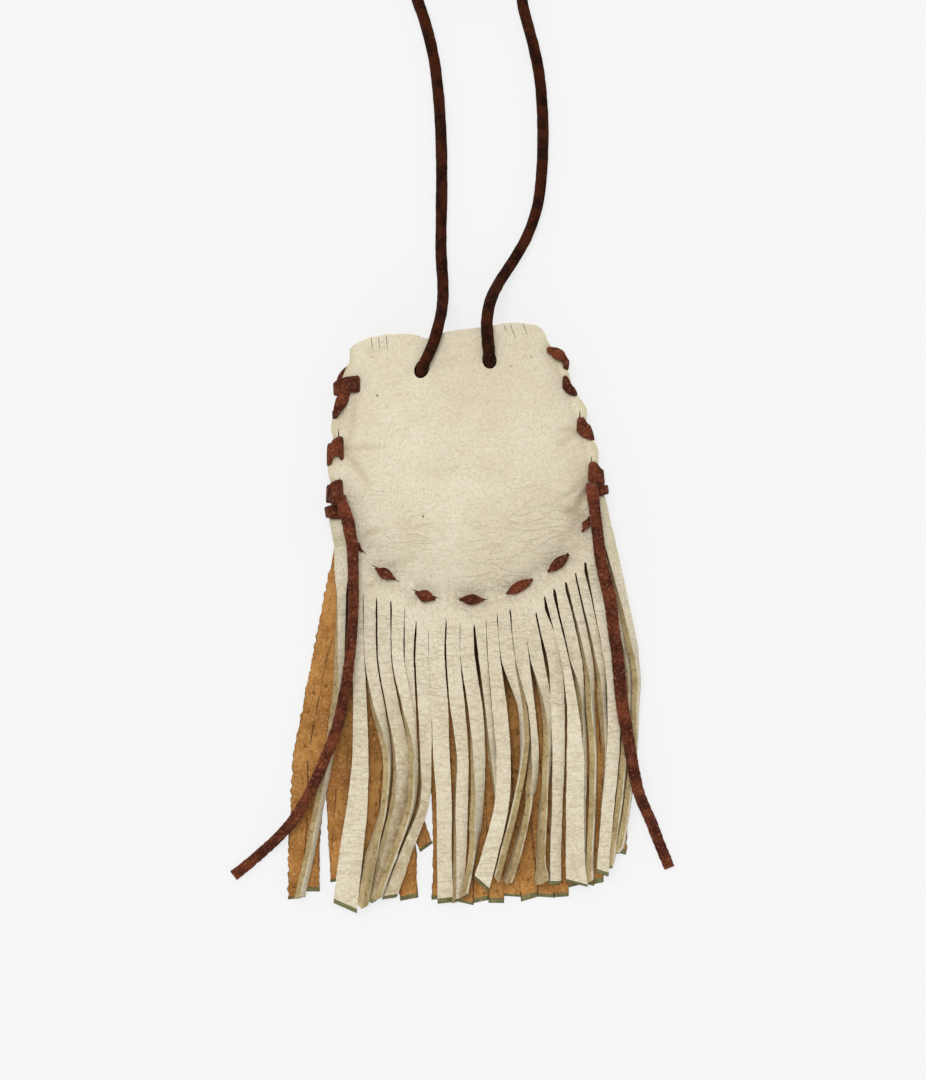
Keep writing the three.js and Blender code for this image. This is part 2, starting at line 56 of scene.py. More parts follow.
# The body of the pouch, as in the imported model
SEAM_CENTRE = (-0.5, -1.2)
CUSHION_RADIUS = 34.7
MOUTH_MIDDLE = -5.3
MOUTH_HALF = 27
MOUTH_HEIGHT = 36
TAPER = 1.6
DOME = 6.9
DOME_POWER = 3
FLAT_SHARE = 0.6
LIFTED_SHARE = 0.8
SEAM_LIFT = 2.2
RIDGE = {"x": -3.4, "y": 27.5, "height": 4.5, "half_width": 14, "crest": 3, "foot": 20}
DROP_START = 6
DROP_END = 18

GRAIN, FLESH, EDGE, TIP = range(4)

# How finely curves and laces are divided, and the angle from which an edge looks sharp
CURVE_STEPS = 24
LACE_STEP = 0.4
SMOOTH_ANGLE = 50


def at(px, py):
    return (px - ZERO[0]) * PIXEL, (ZERO[1] - py) * PIXEL


def all_at(places):
    return [at(*place) for place in places]


def smooth(value, low, high):
    t = np.clip((value - low) / (high - low), 0, 1)
    return t * t * (3 - 2 * t)


def spread(wanted, run, line):
    """A line's columns at the wanted places along it."""
    return np.stack([np.interp(wanted, run, line[:, axis]) for axis in range(line.shape[1])], axis=1)


def evenly(line, count):
    steps = np.linalg.norm(np.diff(line[:, :3], axis=0), axis=1)
    run = np.concatenate([[0], np.cumsum(steps)])
    return spread(np.linspace(0, run[-1], count), run, line)


def curve_of(points, steps_between):
    """Points on a smooth curve through all the given ones, with the ends kept."""
    p = np.array(points, float)
    p = np.vstack([2 * p[0] - p[1], p, 2 * p[-1] - p[-2]])
    fine = []
    for k in range(1, len(p) - 2):
        a, b, c, d = p[k - 1 : k + 3]
        square = 2 * a - 5 * b + 4 * c - d
        cube = 3 * b - a - 3 * c + d
        for t in np.linspace(0, 1, steps_between(b, c), endpoint=False):
            fine.append(0.5 * (2 * b + (c - a) * t + square * t**2 + cube * t**3))
    fine.append(p[-2])
    return np.array(fine)


def through(points, count):
    """Points evenly along a curve through all the given ones."""
    return evenly(curve_of(points, lambda start, end: CURVE_STEPS), count)


def wander(x, y, z, scale):
    return noise.noise(Vector((x / scale, y / scale, z)))


# Camera straight above, at the photograph's framing
def make_camera():
    data = bpy.data.cameras.new("photo_camera")
    data.lens = 100
    data.sensor_width = 36
    data.clip_end = 10
    camera = bpy.data.objects.new("photo_camera", data)
    bpy.context.scene.collection.objects.link(camera)
    x, y = at(PHOTO_SIZE[0] / 2, PHOTO_SIZE[1] / 2)
    distance = PHOTO_SIZE[1] * PIXEL * data.lens / data.sensor_width
    camera.location = (x * MM, y * MM, (distance + 7) * MM)
    bpy.context.scene.camera = camera


def make_object(name, points, faces, indices, materials, smooth_angle=SMOOTH_ANGLE):
    mesh = bpy.data.meshes.new(name)
    mesh.from_pydata([tuple(p) for p in np.array(points) * MM], [], faces)
    for material in materials:
        mesh.materials.append(material)
    mesh.polygons.foreach_set("material_index", indices)
    mesh.update()
    piece = bpy.data.objects.new(name, mesh)
    bpy.context.scene.collection.objects.link(piece)
    mesh.polygons.foreach_set("use_smooth", [True] * len(faces))
    mesh.set_sharp_from_angle(angle=math.radians(smooth_angle))
    return piece


def prisms(outlines, low, high):
    """Upright closed prisms over level outlines, as one set of points and faces."""
    points = []
    faces = []
    for outline in outlines:
        start = len(points)
        sides = len(outline)
        points.extend((x, y, low) for x, y in outline)
        points.extend((x, y, high) for x, y in outline)
        faces.append(tuple(range(start + sides - 1, start - 1, -1)))
        faces.append(tuple(range(start + sides, start + 2 * sides)))
        for k in range(sides):
            after = (k + 1) % sides
            faces.append((start + k, start + after, start + sides + after, start + sides + k))
    return points, faces


def thin_lens(start, end, wide):
    """Outline of a cut from one place on the photograph's frame to another, pointed at both ends."""
    (x1, y1), (x2, y2) = at(*start), at(*end)
    along = Vector((x2 - x1, y2 - y1))
    across = Vector((-along.y, along.x)).normalized() * wide / 2
    shares = [0.12, 0.3, 0.5, 0.7, 0.88]
    sides = [(t, math.sin(math.pi * t) ** 0.5) for t in shares]
    near = [(x1 + along.x * t + across.x * s, y1 + along.y * t + across.y * s) for t, s in sides]
    far = [(x1 + along.x * t - across.x * s, y1 + along.y * t - across.y * s) for t, s in reversed(sides)]
    return [(x2, y2), *reversed(near), (x1, y1), *reversed(far)]


def cut(piece, points, faces):
    """Takes the given solids out of a panel, and leaves the colour of a cut edge."""
    cutter = make_object("cutter", points, faces, [EDGE] * len(faces), list(piece.data.materials))
    fix_normals(cutter)
    modifier = piece.modifiers.new("cut", "BOOLEAN")
    modifier.operation = "DIFFERENCE"
    modifier.solver = "MANIFOLD"
    modifier.object = cutter
    graph = bpy.context.evaluated_depsgraph_get()
    mesh = bpy.data.meshes.new_from_object(piece.evaluated_get(graph))
    piece.modifiers.clear()
    piece.data = mesh
    mesh.set_sharp_from_angle(angle=math.radians(SMOOTH_ANGLE))
    bpy.data.objects.remove(cutter)


def fix_normals(piece):
    work = bmesh.new()
    work.from_mesh(piece.data)
    bmesh.ops.recalc_face_normals(work, faces=work.faces)
    work.to_mesh(piece.data)
    work.free()


def take_out(panel, openings):
    """Cuts narrow openings through a panel, given as outlines."""
    points, faces = prisms(openings, *CUT_HEIGHTS)
    cut(panel, points, faces)


# Shape of the raised body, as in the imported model


def seam_share(x, y):
    round_share = np.hypot(x - SEAM_CENTRE[0], y - SEAM_CENTRE[1]) / CUSHION_RADIUS
    up = np.clip((y - SEAM_CENTRE[1]) / (MOUTH_HEIGHT - SEAM_CENTRE[1]), 0, None)
    middle = SEAM_CENTRE[0] + (MOUTH_MIDDLE - SEAM_CENTRE[0]) * up
    half = CUSHION_RADIUS + (MOUTH_HALF - CUSHION_RADIUS) * up**TAPER
    return np.where(y < SEAM_CENTRE[1], round_share, np.abs(x - middle) / half)


def lift_at(x, y):
    share = seam_share(x, y)
    below = (share - 1) * CUSHION_RADIUS
    lowered = 1 - smooth(below, DROP_START, DROP_END)
    return np.where((share < 1) | (y > SEAM_CENTRE[1]), 1.0, lowered)


def ridge_at(x, y):
    across = np.exp(-(((x - RIDGE["x"]) / RIDGE["half_width"]) ** 4))
    along = 1 - smooth(np.abs(y - RIDGE["y"]), RIDGE["crest"], RIDGE["foot"])
    return RIDGE["height"] * across * along


def back_height(x, y):
    edge = smooth(seam_share(x, y), FLAT_SHARE, LIFTED_SHARE)
    return np.maximum(SEAM_LIFT * edge * lift_at(x, y), ridge_at(x, y))


def front_height(x, y):
    share = np.minimum(1, seam_share(x, y))
    return LEATHER + GAP + SEAM_LIFT * lift_at(x, y) + DOME * (1 - share**DOME_POWER)


# Outline of the body, and the places where the strips part
LEFT_EDGE = [
    (349.4, 349.6), (349.5, 361), (346.5, 367), (343.5, 374), (341, 381), (339, 389), (337.4, 397),
    (336.4, 405), (334.6, 413), (331.6, 421), (330.9, 430), (332.8, 437), (333.2, 446), (331.8, 457),
    (328.3, 467), (328.2, 475), (330.5, 482), (331.6, 490), (331.2, 498), (330.6, 507), (329.8, 515),
    (329.2, 521), (331, 530), (334, 546),
]
RIGHT_EDGE = [
    (549, 347), (551, 352), (557, 359), (563, 366), (569, 372.5), (570.3, 379), (572.5, 387), (578.4, 396),
    (583.7, 403.3), (587.4, 411), (586.4, 420), (588, 429), (591, 437), (596, 444), (598.7, 452),
    (598.4, 463), (599.2, 472), (601, 480), (603.2, 489), (605.6, 498), (608, 508), (610.6, 521),
    (613, 530), (615, 537),
]
MOUTH_EDGE = [
    (349.4, 349.6), (355, 344), (363, 340.5), (371, 337.5), (379, 336.8), (386, 335.2), (395, 335.4),
    (403, 335), (415, 336), (428.6, 340), (438, 336), (448, 333), (460.7, 331), (478, 329), (493, 327),
    (503, 324.5), (517, 323.5), (529, 324.5), (538, 326), (545, 333), (549, 347),
]
PARTINGS = [
    (334, 546), (349, 583), (363, 593), (376.5, 597), (391, 600), (404.5, 604), (416.5, 622), (429, 632),
    (446, 617), (460, 622), (474, 624), (486, 621), (497, 610), (510, 608), (523, 607), (535, 616),
    (544, 596), (553.5, 588), (565, 582), (575, 573), (584.5, 562), (595, 553), (604, 543), (615, 537),
]
STRIP_COLUMNS = 5
BODY_ROWS = 110
MOUTH_POINTS = 400
END_SLOPE = (0.9, 1.7)
# The least and most width of a strip, and that of one that stands on its edge
STRIP_WIDTHS = (1.8, 7.6)
STANDING_WIDTH = 3.3
STANDING_BELOW = 0.35
# Rows in each strip, and how uneven its borders are
FRONT_ROWS, BACK_ROWS = 64, 130
FRONT_RAGGED, BACK_RAGGED = 0.1, 0.3
# The lower and upper height of every cut through a panel
CUT_HEIGHTS = (-2, 20)
# Widths of the cuts: a thin one along each slit first, then wider ones for the laces, front and back
FIRST_CUT = 0.4
WRAP_CUTS = (1.0, 1.3)
RUNNING_CUTS = (0.75, 0.9)
LIP_CUT = 0.16

# Heights on the photograph at which the front strips are given. Each strip's end follows them.
LEVELS = [660, 708, 757, 805, 854]

# Front strips: places across at the levels, then the end; widths as seen; turn in degrees, positive
# with the grain side to the right. over: lies on its neighbours. slant: how far the end's cut drops.
FRONT_STRIPS = [
    {"x": [338.8, 335, 328, 318.8, 309.4], "tip": (299.3, 897), "wide": [10, 8, 9, 10.5, 10.5, 10],
     "turn": [35, 70, 75, 72, 72, 72]},
    {"x": [358.2, 359.6, 360, 357, 350.9], "tip": (345, 905), "wide": [12, 13.8, 16, 20.6, 24, 24],
     "slant": 1.1},
    {"x": [370.3, 377.5, 387, 384, 371.5], "tip": (362.5, 903), "wide": [12, 14, 9, 8, 12.5, 12],
     "turn": [0, 32, 78, 88, 118, 118], "worn": [0, 0, 0.3, 0.5, 0.6, 0.7]},
    {"x": [384.5, 392.3, 401, 398, 385], "tip": (372, 900), "wide": [13, 13.5, 16.5, 16, 14, 9],
     "turn": [0, 8, 25, 40, 44, 40], "worn": [0, 0.3, 0.9, 1, 1, 1]},
    {"x": [398, 407, 413, 410.5, 394], "tip": (378.5, 897), "wide": [12, 11.5, 8, 7, 7, 7],
     "turn": [0, 12, 66, 84, 86, 84], "over": 0.6, "worn": [0, 0, 0.3, 0.5, 0.6, 0.7]},
    {"x": [409, 411.5, 413.5, 411, 393], "tip": (378, 893), "wide": [9, 8, 7, 7, 7, 7],
     "turn": [0, 0, 20, 20, 10, 0], "worn": [0, 0.3, 0.9, 1, 1, 1]},
    {"x": [421.9, 424.5, 425.3, 423.2, 405.2], "tip": (390.5, 896), "wide": [13, 14, 12, 11, 12, 16],
     "turn": [0, 0, 8, 20, 14, 5], "slant": -1, "worn": [0, 0, 0.4, 0.9, 1, 0.9]},
    {"x": [436.6, 439.6, 441.4, 444, 444.3], "tip": (445.4, 899), "wide": [16, 17, 16.5, 15.3, 14.5, 15.8]},
    {"x": [453.3, 457.5, 462, 461, 460], "tip": (457.5, 899), "wide": [14, 15, 13, 14, 13, 11],
     "turn": [0, 0, 15, 15, 25, 40]},
    {"x": [468, 475, 478, 477, 472.7], "tip": (464.5, 895), "wide": [14, 15, 15, 13, 12, 12],
     "turn": [0, 5, 25, 50, 82, 92]},
    {"x": [483.2, 488, 492.5, 498, 491], "tip": (486, 876), "wide": [9, 7.5, 8, 8, 8, 8],
     "turn": [0, 8, 30, 10, 0, 0]},
    {"x": [494.5, 499.5, 503.5, 501.8, 490], "tip": (482, 882), "wide": [12, 15, 14.5, 14.5, 15.8, 15.8],
     "over": 1, "slant": 1.2},
    {"x": [508.5, 522.5, 524, 516.3, 504], "tip": (498, 877), "wide": [13.5, 9, 9, 10, 9.7, 11],
     "turn": [0, -50, -84, -96, -96, -96], "over": 0.5, "worn": [0, 0, 0.3, 0.4, 0.5, 0.5]},
    {"x": [522.5, 531, 534, 529, 516.9], "tip": (508, 880), "wide": [14, 8, 10.5, 12, 12, 11],
     "turn": [0, 10, 25, 90, 106, 104], "worn": [0, 0, 0.3, 0.6, 0.6, 0.6]},
    {"x": [537.5, 547, 547.8, 543.6, 541.2], "tip": (541.7, 882), "wide": [13.4, 10.9, 8.5, 11, 11, 14],
     "turn": [0, 32, 70, 100, 105, 115], "worn": [0, 0.7, 0.9, 0.6, 0.5, 0.5]},
    {"x": [554.5, 558, 558.5, 557, 555.5], "tip": (555, 882), "wide": [13.5, 14, 13, 12, 12, 13],
     "turn": [0, 0, 8, 10, 12, 18]},
    {"x": [565, 572.6, 575.5, 575, 575.4], "tip": (577, 882), "wide": [8, 11, 17.5, 18, 19, 21.8],
     "over": 1, "slant": 1},
    {"x": [576.3, 581.5, 583, 583, 583], "tip": (584, 870), "wide": [12, 6.5, 6, 6, 6, 6],
     "turn": [0, 70, 40, 0, 0, 0]},
    {"x": [588, 591, 593.9, 593, 591], "tip": (590.5, 880), "wide": [10, 9, 9, 10, 10, 10],
     "turn": [30, 72, 84, 84, 80, 80]},
    {"x": [599.5, 603, 608, 606, 602], "tip": (601, 866), "wide": [10, 7, 8, 8, 8, 8],
     "turn": [20, 55, 10, 0, 0, 0]},
    {"x": [609.5, 613.9, 612.7, 608.4, 604], "tip": (603, 871), "wide": [10.5, 12.5, 13, 12.5, 12, 12],
     "over": 1},
    {"x": [626, 628, 625, 620, 613], "tip": (611, 864), "wide": [10, 9, 9, 9, 9, 9],
     "turn": [58, 72, 78, 78, 78, 78]},
    {"x": [635, 636, 634, 628, 620], "tip": (617, 852), "wide": [12, 10, 8, 8, 8, 8],
     "turn": [74, 80, 82, 82, 82, 82]},
]

# How far the front strips stand apart just below each place where they part, in millimetres
FRONT_SLITS = [
    0, 0.14, 0.2, 0.42, 0.42, 0.1, 0.16, 0.14, 0.42, 0.14, 0.42, 0.14, 0.12, 0.42, 0.14, 0.12, 0.16, 0.6,
    0.42, 0.04, 0.6, 0.04, 0.14, 0,
]
# Back strips, which show their flesh side, in the same way at four levels
BACK_LEVELS = [660, 757, 805, 854]
BACK_STRIPS = [
    {"x": [320, 301, 298.5, 296], "tip": (296, 898)},
    {"x": [332, 314, 315, 311.5], "tip": (311.5, 889), "wide": [14, 15, 13.5, 13, 13], "slant": 0},
    {"x": [346, 329, 330.8, 331], "tip": (332, 864), "wide": [14, 13, 9.5, 5.5, 2], "slant": 0},
    {"x": [357, 345, 342, 339], "tip": (337, 880)},
    {"x": [369, 374, 371.5, 369], "tip": (368, 880)},
    {"x": [382, 388, 386, 384], "tip": (384, 885)},
    {"x": [397, 403, 405, 407], "tip": (408, 897)},
    {"x": [411, 416, 411, 427.5], "tip": (434, 847), "wide": [14, 14, 14, 13.6, 14], "slant": -0.7},
    {"x": [427, 435, 438.5, 438.5], "tip": (438.5, 897), "wide": [14, 14, 13, 13, 13]},
    {"x": [444, 452, 452, 452], "tip": (452, 895)},
    {"x": [458, 465, 465.5, 466], "tip": (466, 903)},
    {"x": [471, 478, 479.5, 481], "tip": (481, 899)},
    {"x": [484, 491, 493, 495], "tip": (496, 900)},
    {"x": [497, 504, 507, 510], "tip": (513, 896)},
    {"x": [511, 517, 521.5, 526], "tip": (530, 896)},
    {"x": [526, 532, 537.5, 543], "tip": (548, 896)},
    {"x": [543, 547, 553, 559], "tip": (562, 895)},
    {"x": [558, 562, 568, 574], "tip": (577, 885)},
    {"x": [574, 578, 583, 588], "tip": (590, 884)},
    {"x": [589, 594, 597, 600], "tip": (600, 880)},
    {"x": [604, 610, 609.5, 609], "tip": (610, 868)},
    {"x": [620, 623, 620.5, 618], "tip": (618, 850)},
]
# In pixels: the least and most width of a back strip where none is given, how near each other two borders
# meet, and the line at which a border's last place is given
BACK_WIDE = (9.0, 17.6)
CLOSED = 3.0
BORDER_END = 900
# The two borders that no neighbour shares, and how far neighbours overlap, in millimetres
OUTER_BORDERS = {(0, -0.5), (21, 0.5)}
OVERLAP = 0.13


def closed_up(strips):
    """The same strips side by side: each as wide as the room between the middles of its neighbours."""
    across = np.array([[*strip["x"], strip["tip"][0]] for strip in strips], float)
    middles = (across[1:] + across[:-1]) / 2
    lefts = np.vstack([across[:1] - BACK_WIDE[1] / 2, middles])
    rights = np.vstack([middles, across[-1:] + BACK_WIDE[1] / 2])
    wide = np.clip(rights - lefts, *BACK_WIDE)
    inner = np.where(rights - lefts > BACK_WIDE[1], across, (lefts + rights) / 2)
    result = []
    for number, strip in enumerate(strips):
        places = np.array(across[number] if "wide" in strip else inner[number])
        widths = np.array(strip.get("wide", wide[number]), float)
        result.append({**strip, "left": places - widths / 2, "right": places + widths / 2})
    for strip, after in zip(result, result[1:]):
        parted = after["left"] - strip["right"]
        close = np.abs(parted) < CLOSED
        strip["right"] = strip["right"] + np.where(close, parted / 2, 0)
        after["left"] = after["left"] - np.where(close, parted / 2, 0)
    return result


def body_grid(columns, boundary):
    """A patch between the mouth, the two sides and the line where the strips part."""
    rows = BODY_ROWS + 1
    mouth = through(all_at(MOUTH_EDGE), MOUTH_POINTS)
    left = through(all_at(LEFT_EDGE), rows)
    right = through(all_at(RIGHT_EDGE), rows)
    across = (boundary[:, 0] - boundary[0, 0]) / (boundary[-1, 0] - boundary[0, 0])
    top = spread(across, np.linspace(0, 1, len(mouth)), mouth)
    down = np.linspace(0, 1, rows)[:, None, None]
    a = across[None, :, None]
    grid = (1 - down) * top[None] + down * boundary[None]
    grid = grid + (1 - a) * left[:, None] + a * right[:, None]
    corners = (1 - a) * (1 - down) * top[0] + a * (1 - down) * top[-1]
    corners = corners + (1 - a) * down * boundary[0] + a * down * boundary[-1]
    return grid - corners


def parting_line(count, strips):
    """Places along the line where the strips part: the ends of each strip's root and what lies between."""
    partings = np.array(all_at(PARTINGS))
    if strips != len(partings) - 1:
        wanted = np.linspace(0, len(partings) - 1, strips + 1)
        partings = spread(wanted, np.arange(len(partings)), partings)
    return spread(np.linspace(0, strips, strips * count + 1), np.arange(strips + 1), partings)


class Leather:
    """A closed sheet with an upper and a lower side, and walls along each free edge."""

    def __init__(self):
        self.lower = []
        self.upper = []
        self.quads = []
        self.tips = set()
        self.lower_marks = []
        self.upper_marks = []

    def add(self, lower, upper, lower_marks=None, upper_marks=None):
        start = len(self.lower)
        self.lower.extend(lower)
        self.upper.extend(upper)
        self.lower_marks.extend(lower_marks or [(0, 0, 0)] * len(lower))
        self.upper_marks.extend(upper_marks or [(0, 0, 0)] * len(lower))
        return list(range(start, start + len(lower)))

    def strip_of(self, before, after):
        for k in range(1, len(before)):
            self.quads.append((after[k - 1], after[k], before[k], before[k - 1]))

    def build(self, name, materials, top, bottom):
        count = len(self.lower)
        sides = set()
        for quad in self.quads:
            for k in range(4):
                sides.add((quad[k], quad[(k + 1) % 4]))
        faces = []
        kinds = []
        for quad in self.quads:
            a, b, c, d = quad
            faces.append((count + a, count + b, count + c, count + d))
            kinds.append(top)
            faces.append((d, c, b, a))
            kinds.append(bottom)
            for k in range(4):
                start, end = quad[k], quad[(k + 1) % 4]
                if (end, start) not in sides:
                    faces.append((count + end, count + start, start, end))
                    kinds.append(TIP if start in self.tips and end in self.tips else EDGE)
        return make_object(name, self.lower + self.upper, faces, kinds, materials)


def strip_lines(strip, levels, root, count, seed):
    """Place, slope, width, turn, wear and waviness of a strip at each of its rows."""
    drop = root[1] - at(*strip["tip"])[1]
    knots_y = np.array([root[1]] + [at(0, level)[1] for level in levels] + [at(*strip["tip"])[1]])
    knots_x = np.array([root[0]] + [at(x, 0)[0] for x in strip["x"]] + [at(*strip["tip"])[0]])
    keep = np.concatenate([[True], np.diff(knots_y) < -3])
    keep[-1] = True
    turn = np.array(strip.get("turn", [0] * (len(levels) + 1)), float)
    worn = np.array(strip.get("worn", [0] * (len(levels) + 1)), float)
    level_y = knots_y[1:]
    curve = through(np.stack([knots_x[keep], knots_y[keep]], axis=1), 240)
    t = np.linspace(0, 1, count + 1)[1:]
    y = root[1] - drop * t
    if "left" in strip:
        left, right = (border_line(strip, side, levels, y) for side in ("left", "right"))
        x = (left + right) / 2
        width = right - left + OVERLAP
    else:
        order = np.argsort(curve[:, 1])
        x = np.interp(y, curve[order, 1], curve[order, 0])
        width = np.interp(-y, -level_y, np.array(strip["wide"]) * PIXEL)
    slope = np.gradient(np.concatenate([[root[0]], x]), np.concatenate([[root[1]], y]))[1:]
    turned = np.radians(np.interp(-y, np.concatenate([[-root[1]], -level_y]), np.concatenate([[0], turn])))
    wear = np.interp(-y, -level_y, worn)
    wave = np.array([wander(seed * 7.3, py, 1.7, 9) for py in y])
    return t, x, y, slope, width, turned, wear, wave


def border_line(strip, side, levels, y):
    """Places across of one border of a back strip, from where the strips part."""
    first = strip[side + "_root"]
    heights = [first[1]] + [at(0, level)[1] for level in levels] + [at(0, BORDER_END)[1]]
    places = [first[0]] + [at(x, 0)[0] for x in strip[side]]
    return np.interp(-y, -np.array(heights), places)


def strip_marks(share, turn, worn):
    """Marks below and above: painted shade at a border that lies low, a painted highlight along the top,
    wear.
    """
    if abs(share) < 0.5:
        return (0, 0, worn), (0, 0, worn)
    standing = -math.copysign(1, share) * math.sin(turn)
    border = 1 - max(0, standing)
    return (border, 0, worn), (border, max(0, standing), worn)


def strip_rows(strip, levels, root, root_width, rest, count, ragged, seed, number):
    t, xs, ys, slopes, widths, turns, worn, waves = strip_lines(strip, levels, root, count, seed)
    below = t * (root[1] - ys[-1])
    end_slope = np.interp(wander(seed * 1.9, 3.3, 5.2, 1), [-0.4, 0.4], END_SLOPE)
    result = []
    for k in range(len(t)):
        turn = turns[k] + 0.08 * waves[k]
        if "left" in strip:
            width = widths[k]
        else:
            seen = widths[k] * (1 + 0.03 * wander(seed * 3.1, ys[k], 4.4, 4))
            leaning = abs(math.cos(turn))
            width = STANDING_WIDTH
            if leaning > STANDING_BELOW:
                width = np.clip((seen - LEATHER * abs(math.sin(turn))) / leaning, *STRIP_WIDTHS)
            early = smooth(below[k], 0, 9)
            width = root_width * (1 - early) + width * early
        along = Vector((-slopes[k], -1)).normalized()
        height = (width * abs(math.sin(turn)) + LEATHER * abs(math.cos(turn))) / 2
        settled = smooth(below[k], 0, 18)
        raised = strip.get("over", 0) * (LEATHER + GAP) * smooth(below[k], 6, 22)
        z = root[2] + (rest - root[2]) * settled + height + raised + 0.18 * waves[k]
        centre = np.array([xs[k], ys[k], z])
        across = np.array([-along.y * math.cos(turn), along.x * math.cos(turn), -math.sin(turn)])
        upward = np.array([-along.y * math.sin(turn), along.x * math.sin(turn), math.cos(turn)])
        slant = strip.get("slant", 0.5 * math.sin(seed * 2.3)) * smooth(t[k], 0.9, 1)
        lower = []
        upper = []
        marks = []
        for column in range(STRIP_COLUMNS + 1):
            share = column / STRIP_COLUMNS - 0.5
            uneven = 0
            if abs(share) == 0.5 and "left" in strip:
                outer = (number, share) in OUTER_BORDERS
                uneven = (2 if outer else 1) * ragged * wander(ys[k], 5.1 * (number + (share > 0)), 8.8, 1.3)
            elif abs(share) == 0.5:
                uneven = ragged * np.sign(share) * wander(ys[k], seed * 5.1 + 3 * np.sign(share), 8.8, 0.8)
            place = centre + across * (share * width + uneven)
            place[1] -= slant * share * 2
            crown = 0.12 * (1 - (2 * share) ** 2)
            end = np.array([along.x, along.y, 0]) * (end_slope if k == len(t) - 1 else 0)
            lower.append(place - upward * LEATHER / 2 + end)
            upper.append(place + upward * (LEATHER / 2 + crown))
            marks.append(strip_marks(share, turn, worn[k]))
        result.append((lower, upper, [mark[0] for mark in marks], [mark[1] for mark in marks]))
    return result


# Whip stitches, from the mouth down. Each is a list of lines across the lace, upper end first: where it
# comes out of its slit, on the front, and last where it goes round the side.
LEFT_WRAPS = [
    [((357, 376), (357.5, 392.5)), ((346, 377.2), (346, 393.4)), ((339, 379), (339, 394.5)),
     ((332.6, 382.5), (333.2, 395))],
    [((340, 391), (349.5, 396)), ((335.5, 400), (347, 404)), ((333.5, 408), (341, 411.5)),
     ((331.8, 412), (332, 419.6))],
    [((340.6, 436.5), (341.2, 460)), ((334, 439), (335.6, 456)), ((326.4, 446.5), (326.2, 466.5))],
    [((339.6, 479.5), (341, 496)), ((333.5, 481), (334, 496)), ((325.8, 486.5), (325.4, 503))],
    [((340, 504), (340, 519)), ((332.5, 504.8), (333, 518.8)), ((323.6, 507), (325.4, 517.5))],
]
RIGHT_WRAPS = [
    [((549.5, 346.9), (550, 353.5)), ((556.5, 347.6), (555, 359.6)), ((563.8, 351.4), (560.6, 361.6)),
     ((569.8, 360), (568.6, 370.4))],
    [((565.9, 375.6), (564.6, 390)), ((570, 381), (569.6, 394.6)), ((576.2, 390), (578.4, 396))],
    [((580.4, 417), (578.8, 433)), ((585, 419), (584.4, 438.2)), ((591.8, 427.5), (595.6, 440.6))],
    [((591.6, 461.8), (590.6, 482)), ((597, 463), (596.6, 484)), ((604.2, 471), (605.4, 484.5))],
    [((590, 484), (590.4, 496)), ((599, 484.2), (599.2, 496.6)), ((608.4, 485), (609.4, 494))],
]
# The slits that the whip stitches come out of
SLITS = [
    ((357.6, 374.5), (357.6, 393.5)), ((339, 389), (350.5, 396.5)), ((338, 427.5), (340.8, 462)),
    ((339.2, 477), (341.4, 498)), ((340.4, 502), (340.6, 520.5)), ((549, 346), (550.4, 355)),
    ((566.3, 374), (564.2, 391)), ((580.2, 409), (579.2, 434)), ((591.6, 455.5), (590.4, 483)),
    ((589.8, 483), (590.4, 497.5)),
]
# Free tails of the side laces: place, height above the ground and width in millimetres
LEFT_TAIL = [
    (342, 499.5, 7.6, 2.6), (342.6, 504, 9.4, 3), (345.2, 511.5, 10.2, 3.4), (348, 520, 10.3, 3.5),
    (351, 536, 9.9, 3.4), (352.8, 549, 9.5, 3.2), (353.4, 575, 8.6, 3), (353.7, 600, 8.1, 2.9),
    (353, 620, 7.9, 2.8), (352, 640, 7.8, 2.8), (349.5, 660, 7.7, 2.9), (347, 681, 7.7, 3),
    (343, 700, 7.7, 3.1), (338, 724, 7.7, 3.1), (328, 752, 7.7, 3.1), (313, 786, 7.6, 3),
    (302, 806, 7.2, 3), (291, 823, 5.6, 3), (276, 840, 2.9, 3), (261, 854, 1.2, 3), (246, 867, 0.9, 3),
    (232, 878, 0.9, 3),
]
RIGHT_TAIL = [
    (591, 484.5, 7.6, 2.8), (591.6, 489, 9.6, 3.4), (593, 499, 10.2, 3.4), (594.4, 512, 10.1, 3.2),
    (597.2, 533, 9.6, 3.2), (600.5, 560, 8.7, 3.3), (605.5, 581, 8.2, 3.5), (610.2, 601.5, 8, 3.5),
    (613.5, 629, 7.9, 3.4), (617.5, 658, 7.9, 3.4), (621.5, 700, 7.8, 3.5), (627, 733, 7.7, 3.4),
    (636, 782, 7.4, 3.2), (642, 801, 5.6, 3.2), (652, 823, 2.4, 3.2), (661, 846, 1.1, 3.1),
    (671, 870, 0.9, 3),
]
# The start of the left lace, seen behind the corner, with heights above the ground
PEEK = [
    (((348, 364), (354, 369)), 2.6), (((342, 369), (349, 374)), 3.2), (((337.8, 375), (344, 379)), 3.8),
    (((336, 382), (342, 386)), 3.2),
]
# The left tail's knot, in the same way as a wrap, with heights above the leather
KNOT = [
    (((330.5, 495), (332, 503)), 0.5), (((334, 491.5), (335, 505)), 1.7),
    (((339, 491.5), (339.5, 506)), 1.9), (((343.6, 495), (343.8, 503)), 0.5),
]

